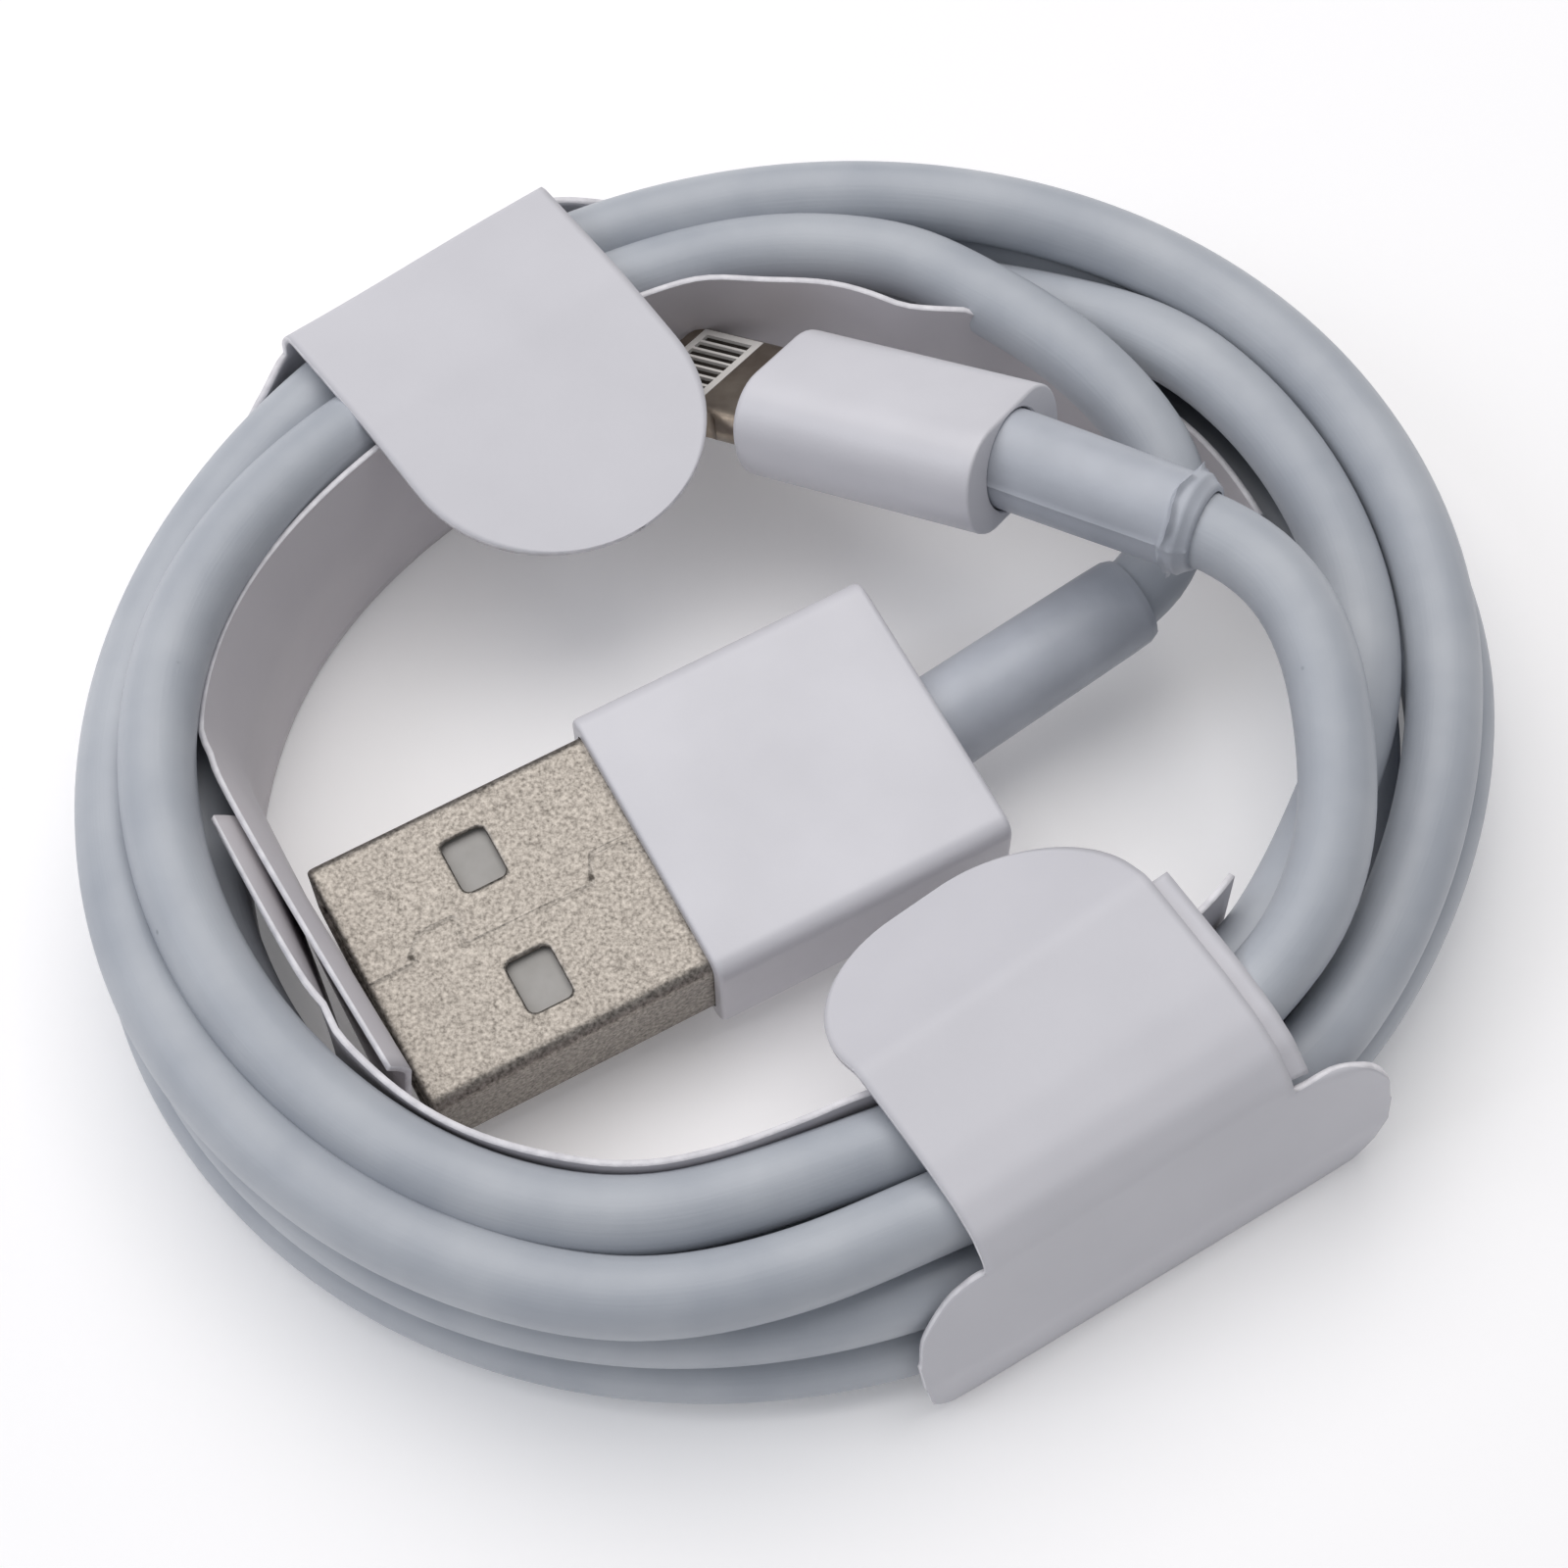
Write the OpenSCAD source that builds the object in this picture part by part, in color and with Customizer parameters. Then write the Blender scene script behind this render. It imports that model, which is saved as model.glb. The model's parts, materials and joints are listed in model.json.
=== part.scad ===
// Charging cable, wound in a ring and held by a die-cut card wrap.
// Millimetres. +Z is up and z = 0 is the surface that the wound cable lies on.
// The origin is the middle of the ring. +X is right and +Y is away from the viewer.
// The cable runs from the USB plug, round the ring anticlockwise, to the tab plug.

/* [Cable] */
// Diameter of the cable's jacket
cable_d = 3.2; // [2.8:0.1:3.2]
// Height of the lowest turns' underside
coil_z = 0.4; // [0.4:0.05:0.6]
// Mean radius of the outer column of turns
coil_r = 26.9; // [26.7:0.1:27.2]
// How far the ring is out of round: half the difference of its long and short radii
coil_oval = 1.5; // [1.3:0.1:1.6]
// Direction of the ring's long axis
coil_turn = 35; // [33:1:37]

/* [USB plug] */
// Width of the metal shell
shell_w = 12; // [11.8:0.05:12.1]
// Thickness of the metal shell
shell_t = 4.5; // [4.4:0.05:4.55]
// Sheet thickness of the metal shell
shell_wall = 0.3; // [0.25:0.05:0.3]
// Length of shell that stands out of the housing
shell_out = 12.6; // [11.8:0.1:12.8]
// Width of the moulded housing
housing_w = 13.4; // [13.2:0.1:13.8]
// Thickness of the moulded housing
housing_t = 5.8; // [5.8:0.1:6.2]
// Length of the moulded housing
housing_l = 13.7; // [13.5:0.1:14.2]
// Radius of the housing's long edges
housing_edge = 0.9; // [0.6:0.1:1.2]
// Length of the USB plug's strain relief outside the housing
usb_relief_l = 10.5; // [9:0.5:11]

/* [Tab plug] */
// Width of the tab
tab_w = 6.7; // [6.5:0.05:6.7]
// Thickness of the tab
tab_t = 1.5; // [1.45:0.05:1.55]
// Length of the tab that stands out of the boot
tab_out = 6.5; // [6.2:0.1:6.6]
// Width of the moulded boot
boot_w = 7.7; // [7.6:0.1:7.8]
// Thickness of the moulded boot
boot_t = 4.9; // [4.8:0.05:5]
// Length of the moulded boot
boot_l = 11.4; // [11.2:0.1:12]
// Contacts on each side of the tab
tab_contacts = 8; // [8]
// Length of the tab plug's strain relief outside the boot
tab_relief_l = 8.8; // [8:0.2:9]

/* [Card wrap] */
// Thickness of the card
card_t = 0.3; // [0.25:0.05:0.3]
// Width of each band over the turns
band_w = 14; // [13:0.5:15]
// Width of each outer wall with its two wings
wing_w = 22; // [20:0.5:23]
// Height of the wings
wing_h = 8.2; // [7:0.2:8.6]
// Direction of the back wrap from the middle of the ring
back_dir = 127; // [124:1:130]
// Direction of the front wrap from the middle of the ring
front_dir = 304; // [302:1:306]
// Droop of the front flap's rounded end
front_droop = 33; // [25:1:36]

/* [Hidden] */
$fn = 48;

cable_r = cable_d / 2;
layers = 3;                              // turns stacked in each column
coil_top = coil_z + layers * cable_d;
top_turn_z = coil_top - cable_r;
ring_in = -1.5 * cable_d;                // ring's inner side, from the outer column's middle
ring_out = cable_r;                      // ring's outer side, from the same place

// Places of the two plugs: middle of the shell's mouth, middle of the boot's front face
usb_at = [-16.8, -11.8, 3.5];
usb_turn = [3.5, -2.3, 28.4];
tab_at = [0.1, 15.1, 8.0];
tab_turn = [-17.5, -17, -28.7];

// Places of the strain reliefs: middle of each moulding's back face
usb_relief_at = [6.31, 0.70, 4.55];
usb_relief_turn = [0, -6, 34];
tab_relief_at = [9.66, 9.86, 11.34];
tab_relief_turn = [0, -7.6, -28.6];
relief_gap = 0.15;                       // play of a relief's neck in its moulding's hole
relief_wall = 0.5;                       // relief's wall at its cable end
relief_d = cable_d + 2 * relief_wall;
relief_neck = 0.8;                       // length of relief inside its moulding

// Routes of the two free stretches, from each relief's end into the ring
usb_route = [[15.0, 6.56, 5.65], [15.8, 7.1, 5.75], [16.8, 8.6, 6.3], [17.1, 10.6, 7.0],
    [16.5, 12.5, 7.6], [15.3, 14.4, 8.1], [13.7, 16.3, 8.4], [11.9, 18.1, 8.5],
    [10.0, 19.7, 8.4], [8.0, 21.0, 8.4]];
tab_route = [[17.35, 5.66, 12.5], [18.2, 5.2, 12.6], [19.4, 4.2, 12.7], [20.6, 2.8, 12.6],
    [21.4, 1.0, 12.4], [21.9, -1.0, 12.0], [22.1, -3.3, 11.6], [22.2, -5.6, 11.0],
    [22.0, -7.9, 10.3]];
tube_sides = 8;

// Shell, measured along the plug from its mouth
shell_l = shell_out + 6.2;
window_l = 2;
window_w = 2.5;
window_at = [6.25, 3];
tongue_w = 11;
tongue_t = 1.9;
tongue_start = 0.7;
tongue_play = 0.05;
block_start = 11.8;
pins = [3.5, 1, -1, -3.5];               // contacts, across the plug
pin_w = 1;
pin_t = 0.2;
pin_start = [1.2, 2.2, 2.2, 1.2];
pin_end = shell_l + 1.4;
mould_start = shell_l + 1.8;
mould_l = 2.7;
mould_wall = 0.8;
crimp_wall = 0.25;
crimp_l = 1.8;
wire_d = 0.7;
wire_gap = 0.9;                          // spacing of the wires
cavity_wall = 0.7;

// Tab, measured along the plug from the boot's front face
carrier_l = 3.1;
carrier_w = 5.6;
carrier_start = -6;
contact_pitch = 0.62;
contact_w = 0.36;
contact_l = 2.3;
contact_sink = 0.12;
tab_tip_r = 1.4;
tab_in = 2.6;                            // tab's length inside the boot
board = [5.2, 0.6, 6.2];                 // width, thickness, length
can_wall = 0.15;
can = [6, 3.4, 8.2];

// Card
card_gap = 0.05;                         // air between card layers and beside the turns
liner_out = ring_in - card_gap;          // liner's outer face, from the outer column's middle
liner_top = coil_top - 0.2;
mouth_strip_tip = [-14.9, -17.1];        // end of the back strip
left_strip_tip = [-22.2, -5.9];          // end of the front strip
flap_z = coil_top + 2 * card_gap;
flap_end = 10.2;                         // back flap's rounded end, from the middle of the ring
droop_at = 16.2;                         // crease where the front flap's end droops
droop_l = 5.9;                           // drooping end's length in plan
hinge_gap = 0.1;
corner_r = 3;

// Ring's outer column at an angle round the ring
function ring_r(a) = coil_r + coil_oval * cos(2 * (a - coil_turn));
function polar(r, a) = [r * cos(a), r * sin(a)];
// Inner face of a wrap's outer wall, from the middle of the ring
function wall_in(dir) = ring_r(dir) + ring_out + 0.25;

module usb_place() { translate(usb_at) rotate(usb_turn) children(); }
module tab_place() { translate(tab_at) rotate(tab_turn) children(); }

// Extrudes an outline (across, up) along the local x axis
module along(start, length) {
    translate([start, 0, 0]) rotate([90, 0, 90]) linear_extrude(length) children();
}

module rounded(w, h, r) {
    square([w - 2 * r, h], center = true);
    square([w, h - 2 * r], center = true);
    for (x = [-1, 1], y = [-1, 1])
        translate([x * (w / 2 - r), y * (h / 2 - r)]) circle(r);
}

// Tube of radius r along a route, one ring of corners at each point
module tube(route, r) {
    last = len(route) - 1;
    function way(i) = route[min(i + 1, last)] - route[max(i - 1, 0)];
    corners = [for (i = [0:last])
        let (t = way(i) / norm(way(i)), s = cross(t, [0, 0, 1]), side = s / norm(s),
             up = cross(side, t))
        for (k = [0:tube_sides - 1])
            let (a = (k + 0.5) * 360 / tube_sides)
            route[i] + r * (cos(a) * side + sin(a) * up)];
    walls = [for (i = [0:last - 1], k = [0:tube_sides - 1])
        let (a = i * tube_sides, b = a + tube_sides, n = (k + 1) % tube_sides)
        [a + k, a + n, b + n, b + k]];
    first_end = [for (k = [tube_sides - 1:-1:0]) k];
    last_end = [for (k = [0:tube_sides - 1]) last * tube_sides + k];
    polyhedron(corners, concat(walls, [first_end, last_end]));
}

// ---- USB plug ----

module usb_shell() {
    color("silver") usb_place() difference() {
        along(0, shell_l) rounded(shell_w, shell_t, 0.5);
        along(-1, shell_l + 2) rounded(shell_w - 2 * shell_wall, shell_t - 2 * shell_wall, 0.2);
        for (side = [-1, 1], face = [-1, 1])
            translate([window_at[0], side * window_at[1], face * shell_t / 2])
                cube([window_l, window_w, 1], center = true);
    }
}

module usb_tongue() {
    tongue_top = shell_t / 2 - shell_wall - tongue_play;
    color("whitesmoke") usb_place() difference() {
        union() {
            translate([tongue_start, -tongue_w / 2, tongue_top - tongue_t])
                cube([shell_l - tongue_start, tongue_w, tongue_t]);
            translate([block_start, -tongue_w / 2, -tongue_top])
                cube([shell_l - block_start, tongue_w, 2 * tongue_top]);
        }
        for (i = [0:3]) usb_pin(i, 2 * tongue_play);
    }
}

// Flat strip of one contact, grown by play where it is a slot
module usb_pin(i, play = 0) {
    pin_top = shell_t / 2 - shell_wall - tongue_play - tongue_t + pin_t - tongue_play;
    translate([pin_start[i] - play, pins[i] - pin_w / 2 - play, pin_top - pin_t - play])
        cube([pin_end - pin_start[i] + 2 * play, pin_w + 2 * play, pin_t + 2 * play]);
}

module usb_contact(i) { color("gold") usb_place() usb_pin(i); }

module usb_inner_mould() {
    color("white") usb_place() difference() {
        along(mould_start, mould_l) rounded(housing_w - 2.4, housing_t - 1.8, 0.4);
        along(mould_start - 1, mould_l + 2)
            rounded(housing_w - 2.4 - 2 * mould_wall, housing_t - 1.8 - 2 * mould_wall, 0.3);
    }
}

// Four insulated cores between the contacts and the crimp
module usb_wires() {
    start = pin_end + 0.1;
    for (i = [0:3])
        color(["black", "green", "white", "red"][i]) usb_place()
            translate([start, (1.5 - i) * wire_gap, 0]) rotate([0, 90, 0])
                cylinder(h = mould_start + mould_l - start, d = wire_d);
}

// Metal band that grips the cable's end inside a moulding
module crimp_ring(at, turn, back) {
    color("darkgray") translate(at) rotate(turn) translate([-back - crimp_l, 0, 0])
        rotate([0, 90, 0]) difference() {
            cylinder(h = crimp_l, r = cable_r + crimp_wall + 0.02);
            translate([0, 0, -1]) cylinder(h = crimp_l + 2, r = cable_r + 0.02);
        }
}

// Length of the cable's jacket that lies inside a strain relief
module jacket_end(at, turn, back, length) {
    color("lightsteelblue") translate(at) rotate(turn) translate([-back, 0, 0])
        rotate([0, 90, 0]) cylinder(h = back + length, r = cable_r);
}

// Tapered sleeve with a neck that sits in its moulding's hole
module relief(at, turn, length) {
    color("lightsteelblue") translate(at) rotate(turn) rotate([0, 90, 0]) difference() {
        translate([0, 0, -relief_neck])
            cylinder(h = length + relief_neck, d1 = relief_d + 0.1, d2 = relief_d - 0.1);
        translate([0, 0, -5]) cylinder(h = length + 10, r = cable_r + 0.02);
    }
}

module usb_crimp_ring() { crimp_ring(usb_relief_at, usb_relief_turn, relief_neck + 0.2); }

module usb_jacket_end() { jacket_end(usb_relief_at, usb_relief_turn, 2.8, usb_relief_l); }

module usb_strain_relief() { relief(usb_relief_at, usb_relief_turn, usb_relief_l); }

module usb_housing() {
    color("white") usb_place() difference() {
        along(shell_out, housing_l) rounded(housing_w, housing_t, housing_edge);
        along(shell_out - 1, shell_l - shell_out + 1.05)
            rounded(shell_w + 0.1, shell_t + 0.1, 0.5);
        along(shell_l, housing_l + shell_out - shell_l - cavity_wall)
            rounded(shell_w + 0.1, shell_t, 0.5);
        translate([shell_out + housing_l - 2, 0, 0]) rotate([0, 90, 0])
            cylinder(h = 4, d = relief_d + 2 * relief_gap);
    }
}

// ---- Tab plug ----

module tab_outline(w) {
    square([w - tab_t, tab_t], center = true);
    for (x = [-1, 1]) translate([x * (w - tab_t) / 2, 0]) circle(tab_t / 2);
}

module tab_frame() {
    color("gray") tab_place() difference() {
        intersection() {
            along(-tab_out, tab_out + tab_in) tab_outline(tab_w);
            translate([(tab_in - tab_out) / 2, 0, -1]) linear_extrude(2)
                rounded(tab_out + tab_in, tab_w, tab_tip_r);
        }
        translate([carrier_start - 0.02, -carrier_w / 2 - 0.02, -1])
            cube([carrier_l + 0.04, carrier_w + 0.04, 2]);
        for (side = [-1, 1]) translate([-2.1, side * (tab_w / 2 + 0.3), -1])
            cylinder(h = 2, r = 0.7);
        translate([0.3, -board[0] / 2 - 0.1, -board[1] / 2 - 0.05])
            cube([tab_in, board[0] + 0.2, board[1] + 0.1]);
    }
}

// Places one copy for each contact across the tab
module each_contact() {
    for (i = [0:tab_contacts - 1])
        translate([carrier_start + 0.45, (i - (tab_contacts - 1) / 2) * contact_pitch, 0])
            children();
}

module tab_insulator() {
    color("whitesmoke") tab_place() difference() {
        translate([carrier_start, -carrier_w / 2, -tab_t / 2])
            cube([carrier_l, carrier_w, tab_t]);
        for (face = [-1, 1]) each_contact()
            translate([contact_l / 2 - 0.05, 0, face * tab_t / 2])
                cube([contact_l + 0.1, contact_w + 0.1, 0.5], center = true);
    }
}

// Row of flat contacts sunk in one face of the insulator
module tab_contact_row(face) {
    contact_h = 0.12;
    color("gold") tab_place() each_contact()
        translate([contact_l / 2 - 0.05, 0, face * (tab_t / 2 - contact_sink - contact_h / 2)])
            cube([contact_l, contact_w, contact_h], center = true);
}

module tab_contacts_top() { tab_contact_row(1); }

module tab_contacts_bottom() { tab_contact_row(-1); }

module tab_circuit_board() {
    color("darkgreen") tab_place() translate([0.4, -board[0] / 2, -board[1] / 2])
        cube([board[2], board[0], board[1]]);
}

module tab_control_chip() {
    color("dimgray") tab_place() translate([3.2, -1.1, board[1] / 2 + 0.02])
        cube([2.2, 1.6, 0.5]);
}

module tab_capacitors() {
    color("tan") tab_place() for (i = [0:2])
        translate([3.0 + i * 0.9, 1.2, board[1] / 2 + 0.02]) cube([0.5, 0.9, 0.4]);
}

module tab_shield_can() {
    color("silver") tab_place() difference() {
        along(tab_in + 0.1, can[2] - tab_in) rounded(can[0], can[1], 0.5);
        along(tab_in, can[2] - tab_in - can_wall + 0.1)
            rounded(can[0] - 2 * can_wall, can[1] - 2 * can_wall, 0.4);
        translate([can[2] - 1, 0, 0]) rotate([0, 90, 0]) cylinder(h = 2, d = 2.4);
    }
}

// Four insulated cores between the circuit board and the crimp
module tab_wires() {
    for (i = [0:3])
        color(["black", "green", "white", "red"][i]) tab_place()
            translate([board[2] + 0.5, (i % 2 - 0.5) * 0.8, (floor(i / 2) - 0.5) * 0.8])
                rotate([0, 90, 0]) cylinder(h = can[2] - board[2] + 0.1, d = 0.5);
}

module tab_crimp_ring() { crimp_ring(tab_relief_at, tab_relief_turn, relief_neck + 0.1); }

module tab_jacket_end() { jacket_end(tab_relief_at, tab_relief_turn, 2.4, tab_relief_l); }

module tab_strain_relief() { relief(tab_relief_at, tab_relief_turn, tab_relief_l); }

module tab_boot() {
    color("white") tab_place() difference() {
        along(0, boot_l) rounded(boot_w, boot_t, boot_t / 2 - 0.2);
        along(0.8, boot_l - 0.8 - cavity_wall)
            rounded(can[0] + 0.3, can[1] + 0.3, 0.5);
        along(-1, tab_in + 1.1) tab_outline(tab_w + 0.1);
        along(-1, tab_in + 1.1) square([tab_w - tab_t, tab_t + 0.05], center = true);
        translate([boot_l - 4, 0, 0]) rotate([0, 90, 0])
            cylinder(h = 4, d = relief_d + 2 * relief_gap);
    }
}

// ---- Cable ----

module usb_lead() { color("lightsteelblue") tube(usb_route, cable_r); }

module tab_lead() { color("lightsteelblue") tube(tab_route, cable_r); }

// Outer shape of all the turns: a rounded section swept round the oval ring
module cable_coil() {
    step = 5;
    corner = 1.3;
    low = coil_z;
    section = concat(
        [for (a = [-90:30:0]) [ring_out - corner + corner * cos(a), low + corner + corner * sin(a)]],
        [for (a = [0:30:90]) [ring_out - corner + corner * cos(a), coil_top - corner + corner * sin(a)]],
        [for (a = [90:30:180]) [ring_in + corner + corner * cos(a), coil_top - corner + corner * sin(a)]],
        [for (a = [180:30:270]) [ring_in + corner + corner * cos(a), low + corner + corner * sin(a)]]);
    count = len(section);
    around = 360 / step;
    corners = [for (i = [0:around - 1], p = section)
        let (a = i * step) concat(polar(ring_r(a) + p[0], a), [p[1]])];
    faces = [for (i = [0:around - 1], k = [0:count - 1])
        let (a = i * count, b = ((i + 1) % around) * count, n = (k + 1) % count)
        [a + k, b + k, b + n, a + n]];
    color("lightsteelblue") polyhedron(corners, faces);
}

// ---- Card wrap ----

// Upright strip of card just inside the turns, from one angle to another
module strip_outline(from, to, outside) {
    step = 4;
    angles = concat([for (a = [from:step:to - step / 2]) a], [to]);
    backwards = [for (i = [len(angles) - 1:-1:0]) angles[i]];
    polygon(concat([for (a = angles) polar(ring_r(a) + outside, a)],
        [for (a = backwards) polar(ring_r(a) + outside - card_t, a)]));
}

// Straight strip of card between two points in plan
module straight_outline(p, q) {
    way = (q - p) / norm(q - p);
    across = card_t * [-way[1], way[0]];
    polygon([p, q, q + across, p + across]);
}

// Strip inside the far and left turns, its end running straight in front of the shell's mouth
module card_liner_back() {
    start = 38;
    end = 186;
    color("lavender") difference() {
        translate([0, 0, card_t]) linear_extrude(liner_top - card_t) {
            strip_outline(start, end, liner_out);
            straight_outline(polar(ring_r(end) + liner_out, end), mouth_strip_tip);
        }
        // Dip in the top edge where the USB lead crosses to join the turns
        translate([0, 0, top_turn_z - cable_r - 0.4]) linear_extrude(9)
            polygon([[0, 0], polar(40, start - 4), polar(40, 80)]);
    }
}

// Strip inside the near turns, its end running straight between the turns and the back strip
module card_liner_front() {
    start = 222;
    end = 334;
    color("lavender") translate([0, 0, card_t]) linear_extrude(liner_top - card_t) {
        strip_outline(start, end, liner_out);
        straight_outline(left_strip_tip, polar(ring_r(start) + liner_out, start));
    }
}

module wrap_place(dir) { rotate([0, 0, dir]) children(); }

// Panel under the turns, from the liner out to the wall's crease
module wrap_base(dir) {
    near = ring_r(dir) + liner_out - card_t - 0.2;
    color("lavender") wrap_place(dir) translate([near, -band_w / 2 + 0.5, 0])
        cube([wall_in(dir) - hinge_gap - near, band_w - 1, card_t]);
}

// Outer wall: a band with a rounded wing at each side, upright beside the turns
module wrap_wall(dir) {
    color("lavender") wrap_place(dir) translate([wall_in(dir), 0, hinge_gap])
        rotate([90, 0, 90]) linear_extrude(card_t) {
            translate([0, wing_h / 2]) rounded(wing_w, wing_h, corner_r);
            translate([-wing_w / 2 + corner_r, 0]) square([wing_w - 2 * corner_r, corner_r]);
            translate([-band_w / 2, 0]) square([band_w, coil_top - hinge_gap]);
        }
}

module back_wrap_base() { wrap_base(back_dir); }

module back_wrap_wall() { wrap_wall(back_dir); }

// Flat flap from the outer crease in to a round end of the band's width
module back_wrap_flap() {
    outer = wall_in(back_dir) + card_t - hinge_gap / 2;
    middle = flap_end + band_w / 2;
    color("lavender") wrap_place(back_dir) translate([0, 0, flap_z]) linear_extrude(card_t) {
        translate([middle, -band_w / 2]) square([outer - middle, band_w]);
        translate([middle, 0]) circle(band_w / 2);
    }
}

module front_wrap_base() { wrap_base(front_dir); }

module front_wrap_wall() { wrap_wall(front_dir); }

// Top layer of the doubled flap, with its round end bent down at a crease
module front_wrap_flap() {
    low = flap_z + card_t + card_gap;
    outer = wall_in(front_dir) + card_t - hinge_gap / 2;
    reach = droop_l + 1;
    fall = reach * tan(front_droop);
    bent = [[outer, low], [droop_at, low], [droop_at - reach, low - fall],
        [droop_at - reach, low - fall + card_t], [droop_at, low + card_t], [outer, low + card_t]];
    color("lavender") wrap_place(front_dir) intersection() {
        rotate([90, 0, 0]) translate([0, 0, -band_w / 2]) linear_extrude(band_w) polygon(bent);
        linear_extrude(2 * coil_top) {
            translate([droop_at, -band_w / 2]) square([outer - droop_at + 1, band_w]);
            translate([droop_at - droop_l, droop_l - band_w / 2])
                square([droop_l + 1, band_w - 2 * droop_l]);
            for (side = [-1, 1]) translate([droop_at, side * (band_w / 2 - droop_l)])
                circle(droop_l);
        }
    }
}

// Under layer of the doubled flap, a little to one side
module front_wrap_ply() {
    color("lavender") wrap_place(front_dir) translate([droop_at + 0.6, 1.1 - band_w / 2, flap_z])
        cube([wall_in(front_dir) + card_t - hinge_gap / 2 - droop_at - 0.6, band_w, card_t]);
}

usb_shell();
usb_tongue();
for (i = [0:3]) usb_contact(i);
usb_inner_mould();
usb_wires();
usb_crimp_ring();
usb_jacket_end();
usb_housing();
usb_strain_relief();
tab_frame();
tab_insulator();
tab_contacts_top();
tab_contacts_bottom();
tab_circuit_board();
tab_control_chip();
tab_capacitors();
tab_shield_can();
tab_wires();
tab_crimp_ring();
tab_jacket_end();
tab_boot();
tab_strain_relief();
usb_lead();
cable_coil();
tab_lead();
card_liner_back();
card_liner_front();
back_wrap_base();
back_wrap_wall();
back_wrap_flap();
front_wrap_base();
front_wrap_wall();
front_wrap_flap();
front_wrap_ply();
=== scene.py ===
import json
import math
import bmesh
import bpy
import numpy as np
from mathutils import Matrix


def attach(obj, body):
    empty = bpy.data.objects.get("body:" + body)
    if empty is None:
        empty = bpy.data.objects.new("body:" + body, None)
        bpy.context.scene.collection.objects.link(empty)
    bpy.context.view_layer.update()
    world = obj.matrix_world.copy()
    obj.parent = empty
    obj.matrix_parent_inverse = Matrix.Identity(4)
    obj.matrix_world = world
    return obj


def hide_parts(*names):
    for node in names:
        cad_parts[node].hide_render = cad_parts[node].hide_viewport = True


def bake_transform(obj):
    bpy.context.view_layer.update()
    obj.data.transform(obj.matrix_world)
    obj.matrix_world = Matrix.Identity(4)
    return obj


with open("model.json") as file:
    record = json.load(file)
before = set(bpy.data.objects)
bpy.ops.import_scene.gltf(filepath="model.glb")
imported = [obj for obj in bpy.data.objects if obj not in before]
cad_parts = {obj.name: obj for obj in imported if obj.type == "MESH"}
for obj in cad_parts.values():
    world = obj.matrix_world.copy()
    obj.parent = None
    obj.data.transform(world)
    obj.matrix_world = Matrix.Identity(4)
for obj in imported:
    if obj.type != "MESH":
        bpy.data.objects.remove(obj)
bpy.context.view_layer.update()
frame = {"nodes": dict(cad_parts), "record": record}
mounts = {m["name"]: m for m in frame["record"]["mounts"]}
print("frame loaded:", len(frame["nodes"]), "nodes")

mm = 0.001                       # shapes are worked out in millimetres and put into meshes in metres
upwards = np.array([0.0, 0.0, 1.0])


# ---- camera, floor and light ----

studio = dict(
    target=(0, 0.0005, 0), distance=0.15, elevation=61.5, lens=78.98,
    floorSize=1.6, floorColour="#fbfafa", floorGlow=0.12, worldColour="#e9ecf2", worldStrength=0.38)


# sRGB channel c to linear: c / 12.92 up to 0.04045, above that ((c + 0.055) / 1.055) to the power 2.4
def linearColour(hexColour):
    c = np.array([int(hexColour[i:i + 2], 16) for i in (1, 3, 5)]) / 255
    lin = np.where(c <= 0.04045, c / 12.92, ((c + 0.055) / 1.055) ** 2.4)
    return (*lin.tolist(), 1.0)


# Adds one node, sets its own settings and its inputs, and links sockets to inputs
def addNode(tree, kind, settings=None, inputs=None, links=None):
    node = tree.nodes.new(kind)
    for name, value in (settings or {}).items():
        setattr(node, name, value)
    for socket, value in (inputs or {}).items():
        node.inputs[socket].default_value = value
    for socket, source in (links or {}).items():
        tree.links.new(source, node.inputs[socket])
    return node


def makeCamera():
    camera = bpy.data.objects.new("studioCamera", bpy.data.cameras.new("studioCamera"))
    bpy.context.scene.collection.objects.link(camera)
    rise = math.radians(studio["elevation"])
    tx, ty, tz = studio["target"]
    back, up = studio["distance"] * math.cos(rise), studio["distance"] * math.sin(rise)
    camera.location = (tx, ty - back, tz + up)
    camera.rotation_euler = (math.pi / 2 - rise, 0, 0)
    camera.data.lens = studio["lens"]
    camera.data.sensor_width = 36
    camera.data.clip_start = 0.005
    camera.data.clip_end = 10
    bpy.context.scene.camera = camera


# A square soft box of that side, at azimuth and elevation round the object, facing it
def addSoftBox(name, azimuth, elevation, distance, side, watts, hexColour):
    light = bpy.data.lights.new(name, "AREA")
    light.shape = "SQUARE"
    light.size = side
    light.energy = watts
    light.color = linearColour(hexColour)[:3]
    box = bpy.data.objects.new(name, light)
    bpy.context.scene.collection.objects.link(box)
    a, e = math.radians(azimuth), math.radians(elevation)
    box.location = (distance * math.cos(e) * math.cos(a), distance * math.cos(e) * math.sin(a),
                    distance * math.sin(e))
    box.rotation_euler = (math.pi / 2 - e, 0, a + math.pi / 2)


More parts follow.
